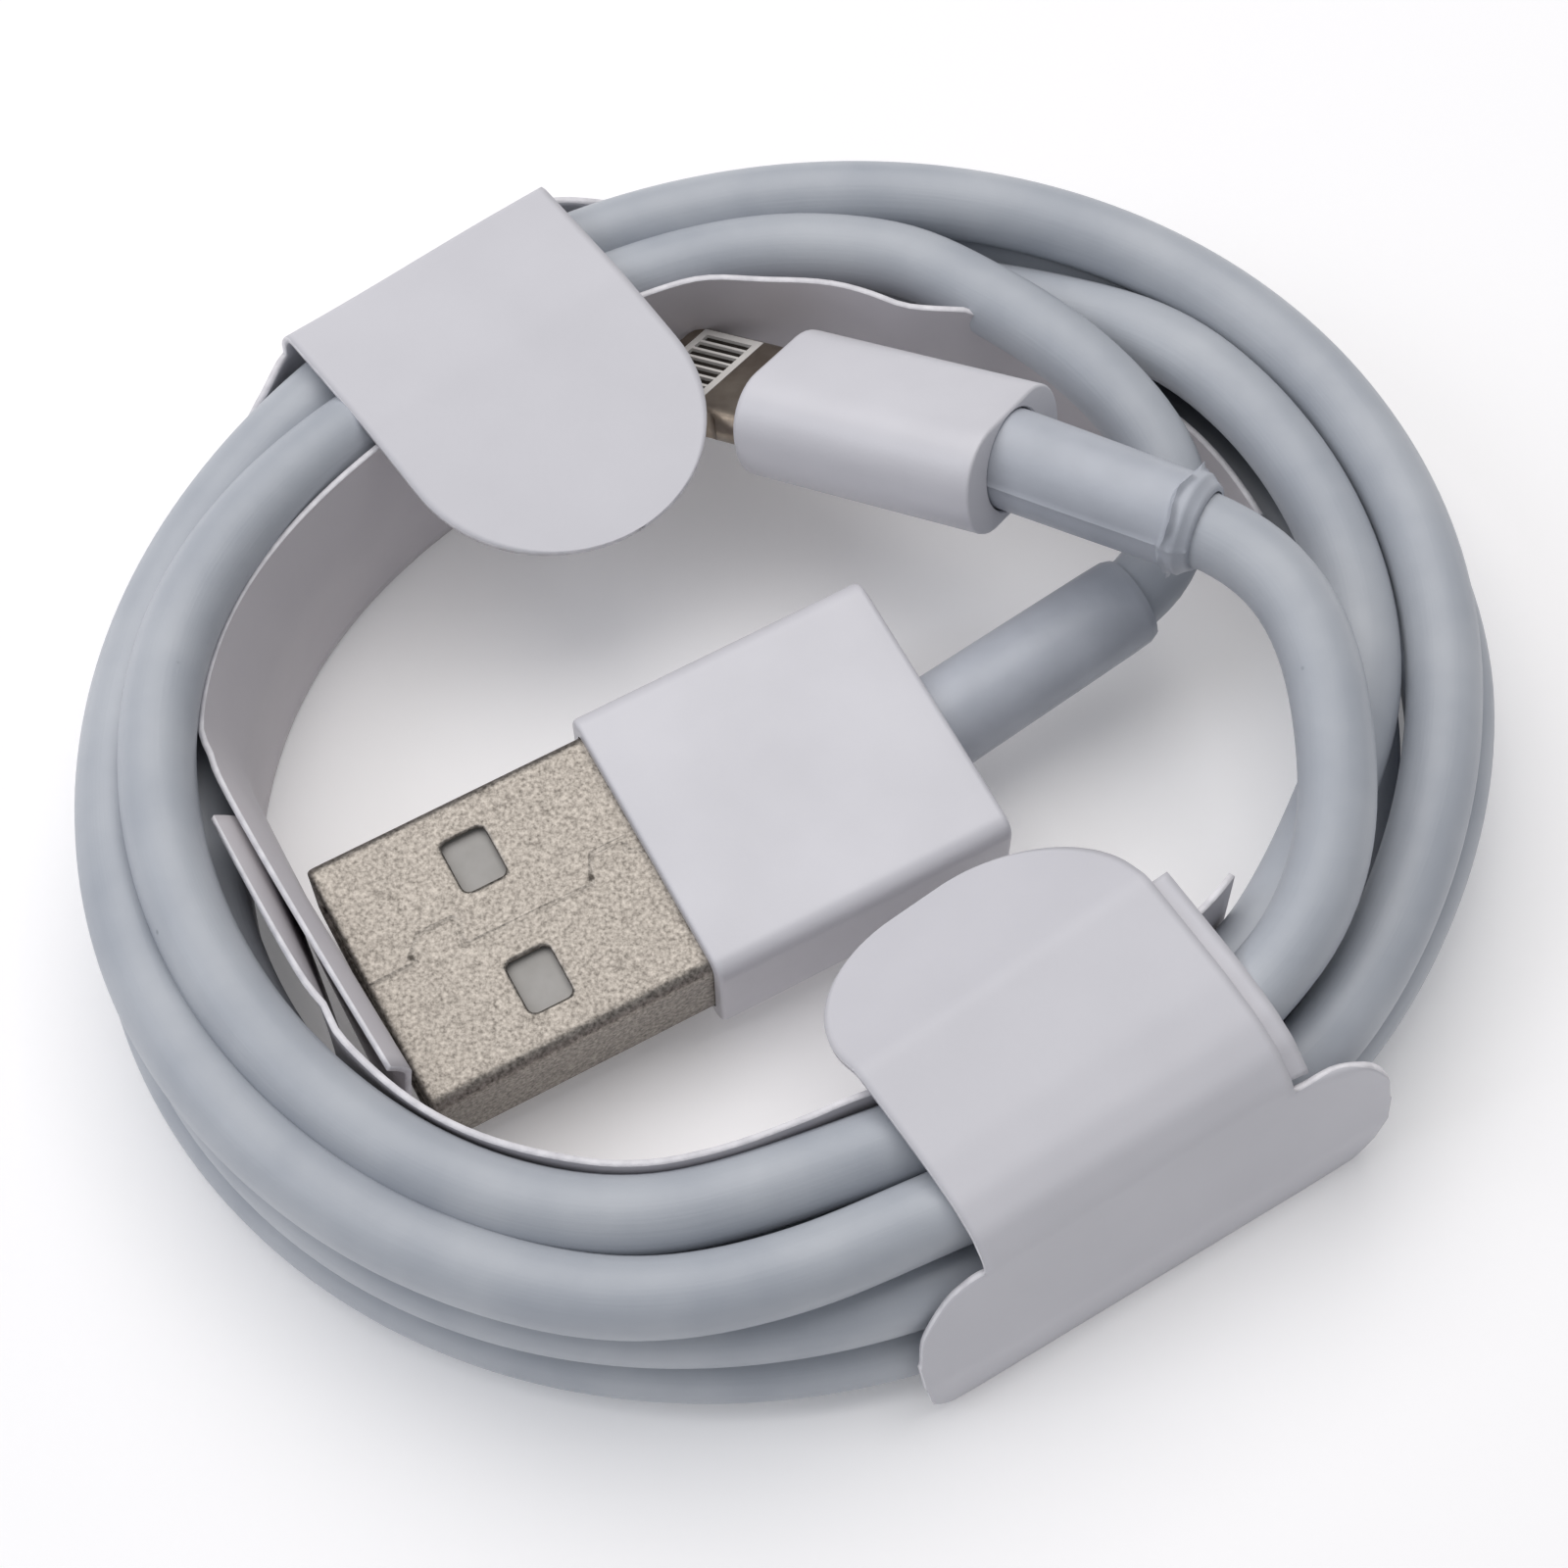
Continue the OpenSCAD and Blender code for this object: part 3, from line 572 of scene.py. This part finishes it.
# Rolled shell: the arc-cornered outline carried along the plug, with a lip at the mouth. Faces inside a
# window are left out, and points on a window's border are drawn to its outline along the distance's slope.
def makeShell():
    half = shell["thickness"] / 2
    outline = arcRectangle(shell["width"], shell["thickness"], shell["edge"], arc=6, straight=8)
    flat = shell["width"] / 2 - shell["edge"]
    across = np.linspace(-flat, flat, int(2 * flat / shell["cell"]) + 1)[1:-1]
    level = np.abs(np.abs(outline[:, 1]) - half) < 1e-6
    middle = level & (np.abs(outline[:, 0]) < flat - 1e-6)
    rim = outline[~middle]                                # arcs and sides, without the faces' own points
    topAt = int(np.argmax((rim[:, 1] > half - 1e-6) & (rim[:, 0] < 0)))
    top = np.stack([across[::-1], np.full(len(across), half)], 1)
    bottom = np.stack([across, np.full(len(across), -half)], 1)
    ring = np.concatenate([rim[:topAt], top, rim[topAt:], bottom])
    rows = np.concatenate([[0, 0.04], np.arange(0.12, shell["fine"], shell["cell"]),
                           np.linspace(shell["fine"], shell["length"], 8)])
    inset = shell["mouthInset"] * np.exp(-rows / shell["mouthDepth"])      # rounded lip at the mouth
    x = np.repeat(rows[:, None], len(ring), 1)
    scaleY = 1 - inset[:, None] * 2 / shell["width"]
    scaleZ = 1 - inset[:, None] * 2 / shell["thickness"]
    y, z = ring[None, :, 0] * scaleY, ring[None, :, 1] * scaleZ
    keep = np.ones((len(rows) - 1, len(ring)), bool)
    isFace = np.abs(ring[:, 1]) > half - 1e-6
    wrapped = np.roll(np.arange(len(ring)), -1)
    for side in (-1, 1):
        centre = (shell["windowAt"][0], side * shell["windowAt"][1])
        p = np.stack([x, y], -1)
        windowHalf = np.array(shell["windowSize"]) / 2
        distance, way = arcBoxDistance(p, centre, windowHalf, shell["windowCorner"])
        mid = (distance[:-1] + distance[1:]) / 2
        inside = ((mid + mid[:, wrapped]) / 2 < 0) & isFace & isFace[wrapped]
        keep &= ~inside
        touch = np.zeros(distance.shape + (2,), bool)     # does a point belong to a cut and to a kept face
        for di in (0, 1):
            for columns in (slice(None), wrapped):
                touch[di:len(rows) - 1 + di, columns, 0] |= inside
                touch[di:len(rows) - 1 + di, columns, 1] |= ~inside
        border = touch.all(-1)[..., None]
        moved = p - np.where(border, distance[..., None] * way, 0)
        x, y = moved[..., 0], moved[..., 1]
        near = np.where(isFace, np.exp(-(np.maximum(distance, 0) / shell["lipWidth"]) ** 2), 0)
        z = z - np.sign(z) * shell["lip"] * near          # punched edge, turned in a little
    seam = lineDistance(np.stack([x, y], -1), shell["seam"])
    gaps = [np.hypot(x - dot[0], y - dot[1]) - shell["dotRadius"] for dot in shell["seamDots"]]
    dots = np.where(ring[:, 1] > half - 1e-6, np.maximum(np.minimum(*gaps), 0), 1.0)
    seam = np.where((ring[:, 1] > half - 1e-6) & (np.abs(y) < shell["seamHalf"]), seam, 1.0)
    points = placed(usbMouth, usbAxes, np.stack([x, y, z], -1))
    piece = makePiece("usbShell", [(points, True)], [nickel], keep=keep.ravel(),
                      values={"seam": seam, "seamDots": dots}, sharp=60)
    thicken(piece, shell["wall"], offset=-1.0)
    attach(piece, "wound_cable")
    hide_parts("usb_shell")


# Rings (along, width, height, corner radius) for an edge rounded to radius edge, from the end face at s
# outwards (way +1) or back to the end face (way -1)
def edgeRings(s, width, height, corner, edge, way, steps=5):
    rings = []
    for a in np.radians(np.linspace(0, 90, steps + 1)):
        inset = edge * (1 - math.sin(a))
        rings.append((s + way * edge * (1 - math.cos(a)), width - 2 * inset, height - 2 * inset,
                      max(corner - inset, 0.05)))
    return rings if way > 0 else rings[::-1]


# Hollow moulding: arc-cornered outlines lofted from ring to ring and back to the first
def makeMoulding(name, origin, axes, rings, material):
    loops = []
    for s, width, height, corner in rings + rings[:1]:
        ring = arcRectangle(width, height, corner, arc=10, straight=6)
        loops.append(np.column_stack([np.full(len(ring), s), ring]))
    points = placed(origin, axes, np.array(loops))
    piece = makePiece(name, [(points, True)], [material], outward=True, sharp=32)
    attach(piece, "wound_cable")
    return piece


housing = dict(start=12.6, length=13.7, width=13.4, thickness=5.8, corner=0.9, frontEdge=0.22, backEdge=0.3,
               mouth=(12.1, 4.6, 0.55), hole=4.5, wall=0.7)


def makeHousing():
    h = housing
    end = h["start"] + h["length"]
    body = (h["width"], h["thickness"], h["corner"])
    rings = [(h["start"], *h["mouth"])] + edgeRings(h["start"], *body, h["frontEdge"], 1)
    rings += [(s, *body) for s in np.linspace(h["start"] + 1, end - 1, 8)]
    rings += edgeRings(end, *body, h["backEdge"], -1)
    hole = (h["hole"], h["hole"], h["hole"] / 2 - 0.001)
    rings += [(end, h["hole"] + 0.2, h["hole"] + 0.2, h["hole"] / 2 + 0.099), (end - 0.1, *hole),
              (end - h["wall"], *hole), (end - h["wall"], *h["mouth"])]
    piece = makeMoulding("usbHousing", usbMouth, usbAxes, rings, polycarbonate)
    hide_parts("usb_housing")


# What both reliefs share. A profile's points beyond the bore are its outside, which carries ridge and flash.
relief = dict(bore=1.75, sides=96, spacing=0.1, lineRadius=2.1, ridgeWidth=0.09, tornShift=0.12,
              tornReach=0.4)


# Sleeve turned round the cable: a closed profile (along, radius) spun in full, with the parting line's ridge
# on two sides and a rim of torn flash at the collar. The ridge falls off as a bell of the arc from its line.
def makeRelief(name, start, way, across, profile, ridge, flash, node):
    profile = np.array(profile + profile[:1], float)
    spaced = [profile[:1]]
    for a, b in zip(profile[:-1], profile[1:]):
        n = max(2, int(np.linalg.norm(b - a) / relief["spacing"]))
        spaced.append(a + (b - a) * np.linspace(0, 1, n + 1)[1:, None])
    spaced = np.concatenate(spaced)
    side = unit(across - way * np.dot(across, way))
    up = np.cross(way, side)
    a = np.linspace(0, 2 * np.pi, relief["sides"], endpoint=False)
    s, r = np.repeat(spaced[:, :1], len(a), 1), np.repeat(spaced[:, 1:], len(a), 1)
    outside = (spaced[:, 1:] > relief["bore"]).astype(float)
    arc = np.abs(np.sin(a)) * relief["lineRadius"]        # distance from the parting line
    r = r + outside * ridge * np.exp(-(arc / relief["ridgeWidth"]) ** 2)
    if flash:
        torn = 0.5 + 0.3 * np.sin(3 * a + 0.7) + 0.25 * np.sin(7 * a + 2.0) + 0.15 * np.sin(17 * a)
        torn = np.clip(torn, 0, 1.2)
        r = r + outside * flash["height"] * torn * np.exp(-((s - flash["at"]) / flash["width"]) ** 2)
        near = np.exp(-((s - flash["at"]) / relief["tornReach"]) ** 2)
        s = s + outside * relief["tornShift"] * np.sin(5 * a + 1) * near
    spoke = np.cos(a)[None, :, None] * side + np.sin(a)[None, :, None] * up
    points = np.asarray(start) + s[..., None] * way + r[..., None] * spoke
    piece = makePiece(name, [(points, True)], [softTpe], outward=True, sharp=50)
    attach(piece, "wound_cable")
    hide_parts(node)
    return piece


makeShell()
makeHousing()
makeRelief(
    "usbStrainRelief", cable["usbStart"], direction(cable["usbHeading"], cable["usbRise"]), usbAxes[1],
    [(-0.8, 1.62), (-0.8, 2.16), (0.4, 2.16), (6.0, 2.1), (9.2, 2.06), (10.1, 2.03), (10.45, 1.9),
     (10.5, 1.62)],
    ridge=0.03, flash=None, node="usb_strain_relief")
print("USB plug made")


# ---- the tab plug ----

tabAxes = plugAxes(-np.array(mounts["tab_plug"]["axis"]), roll=-17.5)
tab = dict(out=6.5, bootWidth=7.7, bootThickness=4.9, bootStart=-0.4, bootLength=11.4, bootCorner=2.25,
           frontEdge=0.42, backEdge=0.14, fullFrom=1.6, slot=(6.8, 1.62, 0.8), slotDepth=0.9, hole=4.5,
           can=(6.3, 3.7, 0.5), wall=0.7)
bootFront = np.array(mounts["tab_plug"]["pos_m"]) / mm + tab["out"] * tabAxes[0]


def makeBoot():
    t = tab
    body = (t["bootWidth"], t["bootThickness"], t["bootCorner"])
    end = t["bootLength"]
    rings = [(t["bootStart"], *t["slot"])]
    rings += edgeRings(t["bootStart"], *body, t["frontEdge"], 1, steps=8)
    rings += [(s, *body) for s in np.linspace(t["fullFrom"], end - 1, 6)]
    rings += edgeRings(end, *body, t["backEdge"], -1, steps=3)
    hole = (t["hole"], t["hole"], t["hole"] / 2 - 0.001)
    rings += [(end, t["hole"] + 0.12, t["hole"] + 0.12, t["hole"] / 2 + 0.059), (end - 0.06, *hole),
              (end - t["wall"], *hole), (end - t["wall"], *t["can"]), (t["slotDepth"], *t["can"]),
              (t["slotDepth"], *t["slot"])]
    piece = makeMoulding("tabBoot", bootFront, tabAxes, rings, polycarbonate)
    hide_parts("tab_boot")
    return piece


tabBoot = makeBoot()
tabRelief = makeRelief(
    "tabStrainRelief", cable["tabStart"], direction(cable["tabHeading"], cable["tabRise"]), tabAxes[1],
    [(-0.8, 1.62), (-0.8, 2.15), (0.3, 2.16), (4.0, 2.12), (7.6, 2.06), (7.75, 2.2), (8.3, 2.22),
     (8.55, 2.0), (8.8, 1.86), (8.85, 1.62)],
    ridge=0.07, flash=dict(at=7.85, height=0.42, width=0.09), node="tab_strain_relief")
print("tab plug made")


# ---- the card wrap ----

card = dict(thickness=0.3, plyThickness=0.26, linerThickness=0.28, backHeading=127, frontHeading=304,
            bandHalf=7.0, wingHalf=11.0, step=0.3, stripCurl=0.75, bendWidth=0.18, bendStep=0.1, wave=0.05)

# Each wrap in its own frame (outwards, across, up). fold is the sheet's section from the floor inwards.
# left, right and endRadius shape the band; wings gives each wing's top and bottom (across, up the sheet).
# turned is how far the section slides outwards for each millimetre across, at three places up the sheet.
# lean is how far a wing's top leans out, for places across.
backShape = dict(
    fold=[(27.4, 0.1), (27.0, 9.2), (26.4, 10.25), (20.3, 10.4), (9.6, 9.6)],
    left=-6.5, right=7.0, endRadius=6.8, wallHeight=8.4, turned=[(0, 0.0), (9, 0.0), (26, 0.0)],
    wings=[([(-6.5, 8.4), (-8.0, 8.2), (-9.6, 7.3), (-10.6, 5.9), (-11, 4.2)],
            [(-6.5, 0), (-9.6, 0.1), (-10.6, 1.2), (-11, 3.0)]),
           ([(7.0, 8.4), (8.2, 8.2), (9.6, 7.3), (10.6, 5.9), (11, 4.2)],
            [(7.0, 0), (9.6, 0.1), (10.6, 1.2), (11, 3.0)])],
    lean=[(-11, -2.3), (-9, -1.2), (-6.5, 0), (6.5, 0), (9, -1.2), (11, -2.3)])
frontShape = dict(
    fold=[(26.75, 0.1), (26.7, 3.0), (25.25, 8.75), (24.3, 9.75), (23.0, 10.25), (21.0, 10.5), (16.1, 10.55),
          (10.3, 6.8)], left=-7.7, right=6.6, endRadius=5.9,
    wallHeight=8.4, turned=[(0, 0.04), (9, 0.025), (20, -0.05)],
    wings=[([(-7.7, 8.4), (-8.8, 7.6), (-9.8, 6.4), (-10.6, 5.2), (-11, 4.0)],
            [(-7.7, 0), (-9.6, 0.1), (-10.7, 1.0), (-11, 2.6)]),
           ([(6.6, 8.4), (8.4, 8.7), (9.6, 8.4), (10.6, 7.0), (11, 4.8)],
            [(6.6, 0), (9.6, 0.1), (10.7, 1.2), (11, 3.0)])],
    lean=[(-11, -1.7), (-10, -1.2), (-7, 0), (5.0, 0), (9.5, 0.8), (11, 1.4)])


# The sheet's surface at reach s along the fold and y across: the section, slid by its turn, with the wings
# leaning as the square of the height, and a slight wave
def sheetSurface(shape, section, s, y):
    reach = lengthAlong(section)
    x, z = np.interp(s, reach, section[:, 0]), np.interp(s, reach, section[:, 1])
    turnAt, turned = zip(*shape["turned"])
    leanAt, lean = zip(*shape["lean"])
    onWall = np.clip(1 - (s - shape["wallHeight"]) / 1.5, 0, 1)
    x = x + y * np.interp(s, turnAt, turned)
    x = x + smoothThrough(y, leanAt, lean) * onWall * np.clip(z / shape["wallHeight"], 0, 1) ** 2
    wave = card["wave"] * np.sin(y * 0.45 + s * 0.3) * np.clip(s / 8, 0, 1)
    return np.stack([x, y, z + wave], -1)


# Grids of one folded sheet. The band's half width shrinks to its rounded end. A wing's columns run between
# its keyed bottom and top, and its first column takes the band's own rows, so that the two are welded.
def sheetGrids(shape):
    section = rounded(shape["fold"], card["bendStep"], card["bendWidth"])
    total = lengthAlong(section)[-1]
    left, right, endRadius = shape["left"], shape["right"], shape["endRadius"]
    middle, half = (left + right) / 2, (right - left) / 2
    straight = np.arange(0, total - endRadius, card["step"])
    roundEnd = total - endRadius + endRadius * np.sin(np.radians(np.linspace(0, 90, 22)))
    s = np.concatenate([straight[:-1], roundEnd])
    past = np.maximum(s - total + endRadius, 0)
    width = half - endRadius + np.sqrt(np.maximum(endRadius ** 2 - past ** 2, 0))
    t = np.linspace(-1, 1, 41)
    reach = np.repeat(s[:, None], len(t), 1)
    grids = [(sheetSurface(shape, section, reach, middle + width[:, None] * t), False)]
    onWall = s[s < shape["wallHeight"] + 0.01]
    share = (onWall / onWall[-1])[:, None]
    for side, edge, (tops, bottoms) in zip((-1, 1), (left, right), shape["wings"]):
        spread = np.sin(np.radians(np.linspace(0, 90, 26)))
        across = abs(edge) + (card["wingHalf"] - abs(edge)) * spread
        high = smoothThrough(across, *zip(*[(abs(y), up) for y, up in tops]))
        low = smoothThrough(across, *zip(*[(abs(y), up) for y, up in bottoms]))
        y = np.repeat(side * across[None], len(onWall), 0)
        grid = sheetSurface(shape, section, low + share * (high - low), y)
        grids.append((grid if side > 0 else grid[:, ::-1], False))
    return grids


def wrapAxes(heading):
    out = direction(heading, 0)
    return out, np.cross(upwards, out), upwards


def inWrap(heading, points):
    return placed(np.zeros(3), wrapAxes(heading), points)


def makeWrapSheet(name, heading, shape, nodes):
    grids = [(inWrap(heading, grid), wrap) for grid, wrap in sheetGrids(shape)]
    piece = makePiece(name, grids, [wrapCard, cutEdgeWithHighlight], sharp=60)
    thicken(piece, card["thickness"], rimMaterial=1)
    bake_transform(piece)
    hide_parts(*nodes)


makeWrapSheet("backWrapSheet", card["backHeading"], backShape,
              ("back_wrap_wall", "back_wrap_flap"))
makeWrapSheet("frontWrapSheet", card["frontHeading"], frontShape,
              ("front_wrap_wall", "front_wrap_flap"))

ply = dict(first=8.7, last=18.3, left=-6.2, right=7.5, below=0.31)      # along the fold, across and under


# Under layer of the doubled front flap: follows the band from below, and shows a little to one side
def makePly():
    section = rounded(frontShape["fold"], card["bendStep"], card["bendWidth"])
    reach = lengthAlong(section)
    s = np.linspace(ply["first"], ply["last"], 36)
    y = np.linspace(ply["left"], ply["right"], 40)
    along, across = np.meshgrid(s, y, indexing="ij")
    way = unit(np.stack([np.interp(s, reach, np.gradient(section[:, k])) for k in (0, 1)], 1))
    below = ply["below"] * np.stack([way[:, 1], np.zeros(len(s)), -way[:, 0]], 1)
    grid = sheetSurface(frontShape, section, along, across) - below[:, None]
    grids = [(inWrap(card["frontHeading"], grid), False)]
    piece = makePiece("frontWrapPly", grids, [wrapCard, cutEdgeWithHighlight], sharp=60)
    thicken(piece, card["plyThickness"], rimMaterial=1)
    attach(piece, "front_flap")
    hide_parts("front_wrap_ply")


makePly()

# The two strips inside the turns. offsets: (degrees, from the outer column's middle); tops: (degrees,
# height); flares: how far the top leans out (distance, at degrees, over degrees); end: where its straight end
# stops in plan; foot: how far the straight end's lower edge stands in from its upper one
backStrip = dict(
    name="cardLinerBack", node="card_liner_back", low=0.35, first=27, last=186, end=(-14.9, -17.1),
    endLean=-0.45,
    offsets=[(27, -5.1), (60, -5.3), (68, -7.0), (74, -7.4), (79, -6.9), (84, -6.4), (92, -5.9), (102, -5.0),
             (127, -5.3), (170, -5.0), (186, -5.0)],
    tops=[(27, 6.0), (40, 6.3), (64, 6.3), (71, 9.4), (84, 9.7), (186, 9.7)],
    flares=[(1.3, 178, 26)], foot=0.0)
frontStrip = dict(
    name="cardLinerFront", node="card_liner_front", low=0.35, first=222, last=333, end=(-22.2, -5.9),
    endLean=0.0,
    offsets=[(222, -5.0), (251, -5.1), (256, -5.3), (262, -5.85), (272, -6.85), (280, -7.35), (304, -7.4),
             (320, -6.5), (333, -6.1)],
    tops=[(222, 9.7), (290, 9.7), (333, 10.1)], flares=[(0.42, 240, 14)], foot=1.2)
# Shared by both strips: the height where they begin to lean, over what height, and the depth of the curl
liner = dict(angleStep=1.5, spacing=0.6, bendWidth=0.35, leanFrom=5.4, leanOver=4.3, leanPower=1.4,
             curlDepth=1.1, ripple=0.1, rippleAt=95, rippleHalf=18)


# Upright strip: a plan line along the ring's oval and straight on to its end, and rows from the floor up.
# The upper part leans out by a bell of the angle, and the straight end's top edge curls.
def makeLiner(strip):
    angle = np.arange(strip["first"], strip["last"] + 0.1, liner["angleStep"])
    radius = ringRadius(angle) + smoothThrough(angle, *zip(*strip["offsets"]))
    outwards = np.stack([np.cos(np.radians(angle)), np.sin(np.radians(angle))], 1)
    plan = radius[:, None] * outwards
    ends = strip["end"][0] < -20                          # does the straight end come before the first angle
    join = plan[0] if ends else plan[-1]
    straight = evenly([join, strip["end"]], liner["spacing"])[1:]
    lean = sum(size * np.exp(-((angle - at) / over) ** 2) for size, at, over in strip["flares"])
    ripple = liner["ripple"] * np.sin(np.radians(angle * 9))
    top = smoothThrough(angle, *zip(*strip["tops"]))
    top = top + ripple * (np.abs(angle - liner["rippleAt"]) < liner["rippleHalf"])
    count = len(straight)
    way = unit(straight[-1] - straight[0])
    normal = np.array([way[1], -way[0]]) if not ends else np.array([-way[1], way[0]])
    fade = np.linspace(1, 0, count)[:, None]
    joinLean, joinOut = (lean[0], outwards[0]) if ends else (lean[-1], outwards[-1])
    extraTop = np.full(count, top[0] if ends else top[-1])
    extraLean = joinLean * fade * joinOut + strip["endLean"] * (1 - fade) * normal
    if ends:
        plan, top = np.concatenate([straight[::-1], plan]), np.concatenate([extraTop, top])
        shift = np.concatenate([extraLean[::-1], lean[:, None] * outwards])
        foot = np.concatenate([(1 - fade[::-1, 0]) ** 0.5, np.zeros(len(angle))])
    else:
        plan, top = np.concatenate([plan, straight]), np.concatenate([top, extraTop])
        shift = np.concatenate([lean[:, None] * outwards, extraLean])
        foot = np.concatenate([np.zeros(len(angle)), (1 - fade[:, 0]) ** 0.5])
    plan = rounded(plan, liner["spacing"], liner["bendWidth"])
    n = np.linspace(0, 1, len(plan))
    old = np.linspace(0, 1, len(top))
    top = np.interp(n, old, top)
    shift = np.stack([np.interp(n, old, shift[:, k]) for k in (0, 1)], 1)
    z = strip["low"] + np.sin(np.radians(np.linspace(0, 90, 30)))[:, None] * (top - strip["low"])
    leaning = np.clip((z - liner["leanFrom"]) / liner["leanOver"], 0, 1) ** liner["leanPower"]
    xy = plan[None] + leaning[..., None] * shift
    onEnd = np.interp(n, old, foot)
    curl = card["stripCurl"] * np.clip(z - top + liner["curlDepth"], 0, liner["curlDepth"]) ** 1.5
    xy = xy + (onEnd * (curl - strip["foot"] * (1 - z / top)))[..., None] * normal
    grids = [(np.concatenate([xy, z[..., None]], -1), False)]
    piece = makePiece(strip["name"], grids, [shadedLinerCard, cutEdgeWithHighlight], sharp=60)
    thicken(piece, card["linerThickness"], rimMaterial=1)
    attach(piece, "wound_cable")
    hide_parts(strip["node"])


base = dict(inner=20.6, sideGap=0.5, middleHeight=0.15, thickness=0.28, points=24)


# Flat panel under the turns
def makeBase(name, heading, outer, node):
    half = card["bandHalf"] - base["sideGap"]
    x, y = np.meshgrid(np.linspace(base["inner"], outer, base["points"]),
                       np.linspace(-half, half, base["points"]), indexing="ij")
    grid = np.stack([x, y, np.full(x.shape, base["middleHeight"])], -1)
    piece = makePiece(name, [(inWrap(heading, grid), False)], [wrapCard, cutEdgeWithHighlight], sharp=60)
    thicken(piece, base["thickness"], rimMaterial=1)
    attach(piece, "wound_cable")
    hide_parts(node)


makeLiner(backStrip)
makeLiner(frontStrip)
makeBase("backWrapBase", card["backHeading"], 27.1, "back_wrap_base")
makeBase("frontWrapBase", card["frontHeading"], 26.3, "front_wrap_base")
print("card wrap made")


# ---- finishes of the CAD nodes that show or lie inside ----

finishes = {
    "insulator_plastic": plainFinish("LCP insulator", "#cfccc8", "#dad7d3", 0.2, 0.004, (0.38, 0.5),
                                     ior=1.55),
    "gold_plated_contacts": plainFinish("gold-plated contact", "#b08d3c", "#d9b765", 0.1, 0.002, (0.2, 0.34),
                                        metallic=1.0, patch=0.8),
    "dark_plated_contacts": plainFinish("palladium-plated contact", "#3a3531", "#57504a", 0.1, 0.002,
                                        (0.3, 0.42), metallic=1.0, patch=0.8),
    "inner_mould_plastic": plainFinish("PE inner mould", "#d5d4ce", "#e2e1dc", 0.3, 0.008, (0.45, 0.6),
                                       ior=1.51),
    "crimp_steel": plainFinish("pressed crimp steel", "#8a8b8d", "#a9aaac", 0.15, 0.004, (0.32, 0.48),
                               metallic=1.0),
    "tab_steel": plainFinish("nickel-plated tab frame", "#8a7f74", "#a69b8e", 0.18, 0.005, (0.3, 0.44),
                             metallic=1.0),
    "shield_can_steel": plainFinish("tinned shield can", "#a2a3a4", "#bdbebf", 0.2, 0.004, (0.28, 0.42),
                                    metallic=1.0),
    "circuit_board": plainFinish("solder mask on FR4", "#0d4a2a", "#14603a", 0.25, 0.006, (0.3, 0.4),
                                 ior=1.55),
    "chip_plastic": plainFinish("epoxy chip body", "#1b1b1d", "#2a2a2c", 0.1, 0.004, (0.5, 0.62), ior=1.55),
    "capacitor_ceramic": plainFinish("fired capacitor ceramic", "#8f7350", "#a98b66", 0.12, 0.004,
                                     (0.45, 0.6), ior=1.6, patch=0.5),
    "wire_insulation": wireInsulation(usbMouth, usbAxes[1], 0.9),
    "cable_jacket": jacketTpe, "strain_relief_rubber": softTpe, "white_housing_plastic": polycarbonate,
    "nickel_plated_steel": nickel, "liner_card": shadedLinerCard, "wrap_card": wrapCard,
}
# the USB tongue is the same plastic as the tab's carrier, painted greyer as painted shade for the shade
# inside the shell behind its windows
shadedTonguePlastic = plainFinish("LCP tongue with painted shade", "#97948f", "#a5a29e", 0.2, 0.004, (0.38, 0.5), ior=1.55)
for part in frame["record"]["subparts"]:
    node = frame["nodes"][part["node"]]
    node.data.materials.clear()
    finish = shadedTonguePlastic if part["node"] == "usb_tongue" else finishes[part["material_slot"]]
    node.data.materials.append(finish)
print("CAD nodes finished")
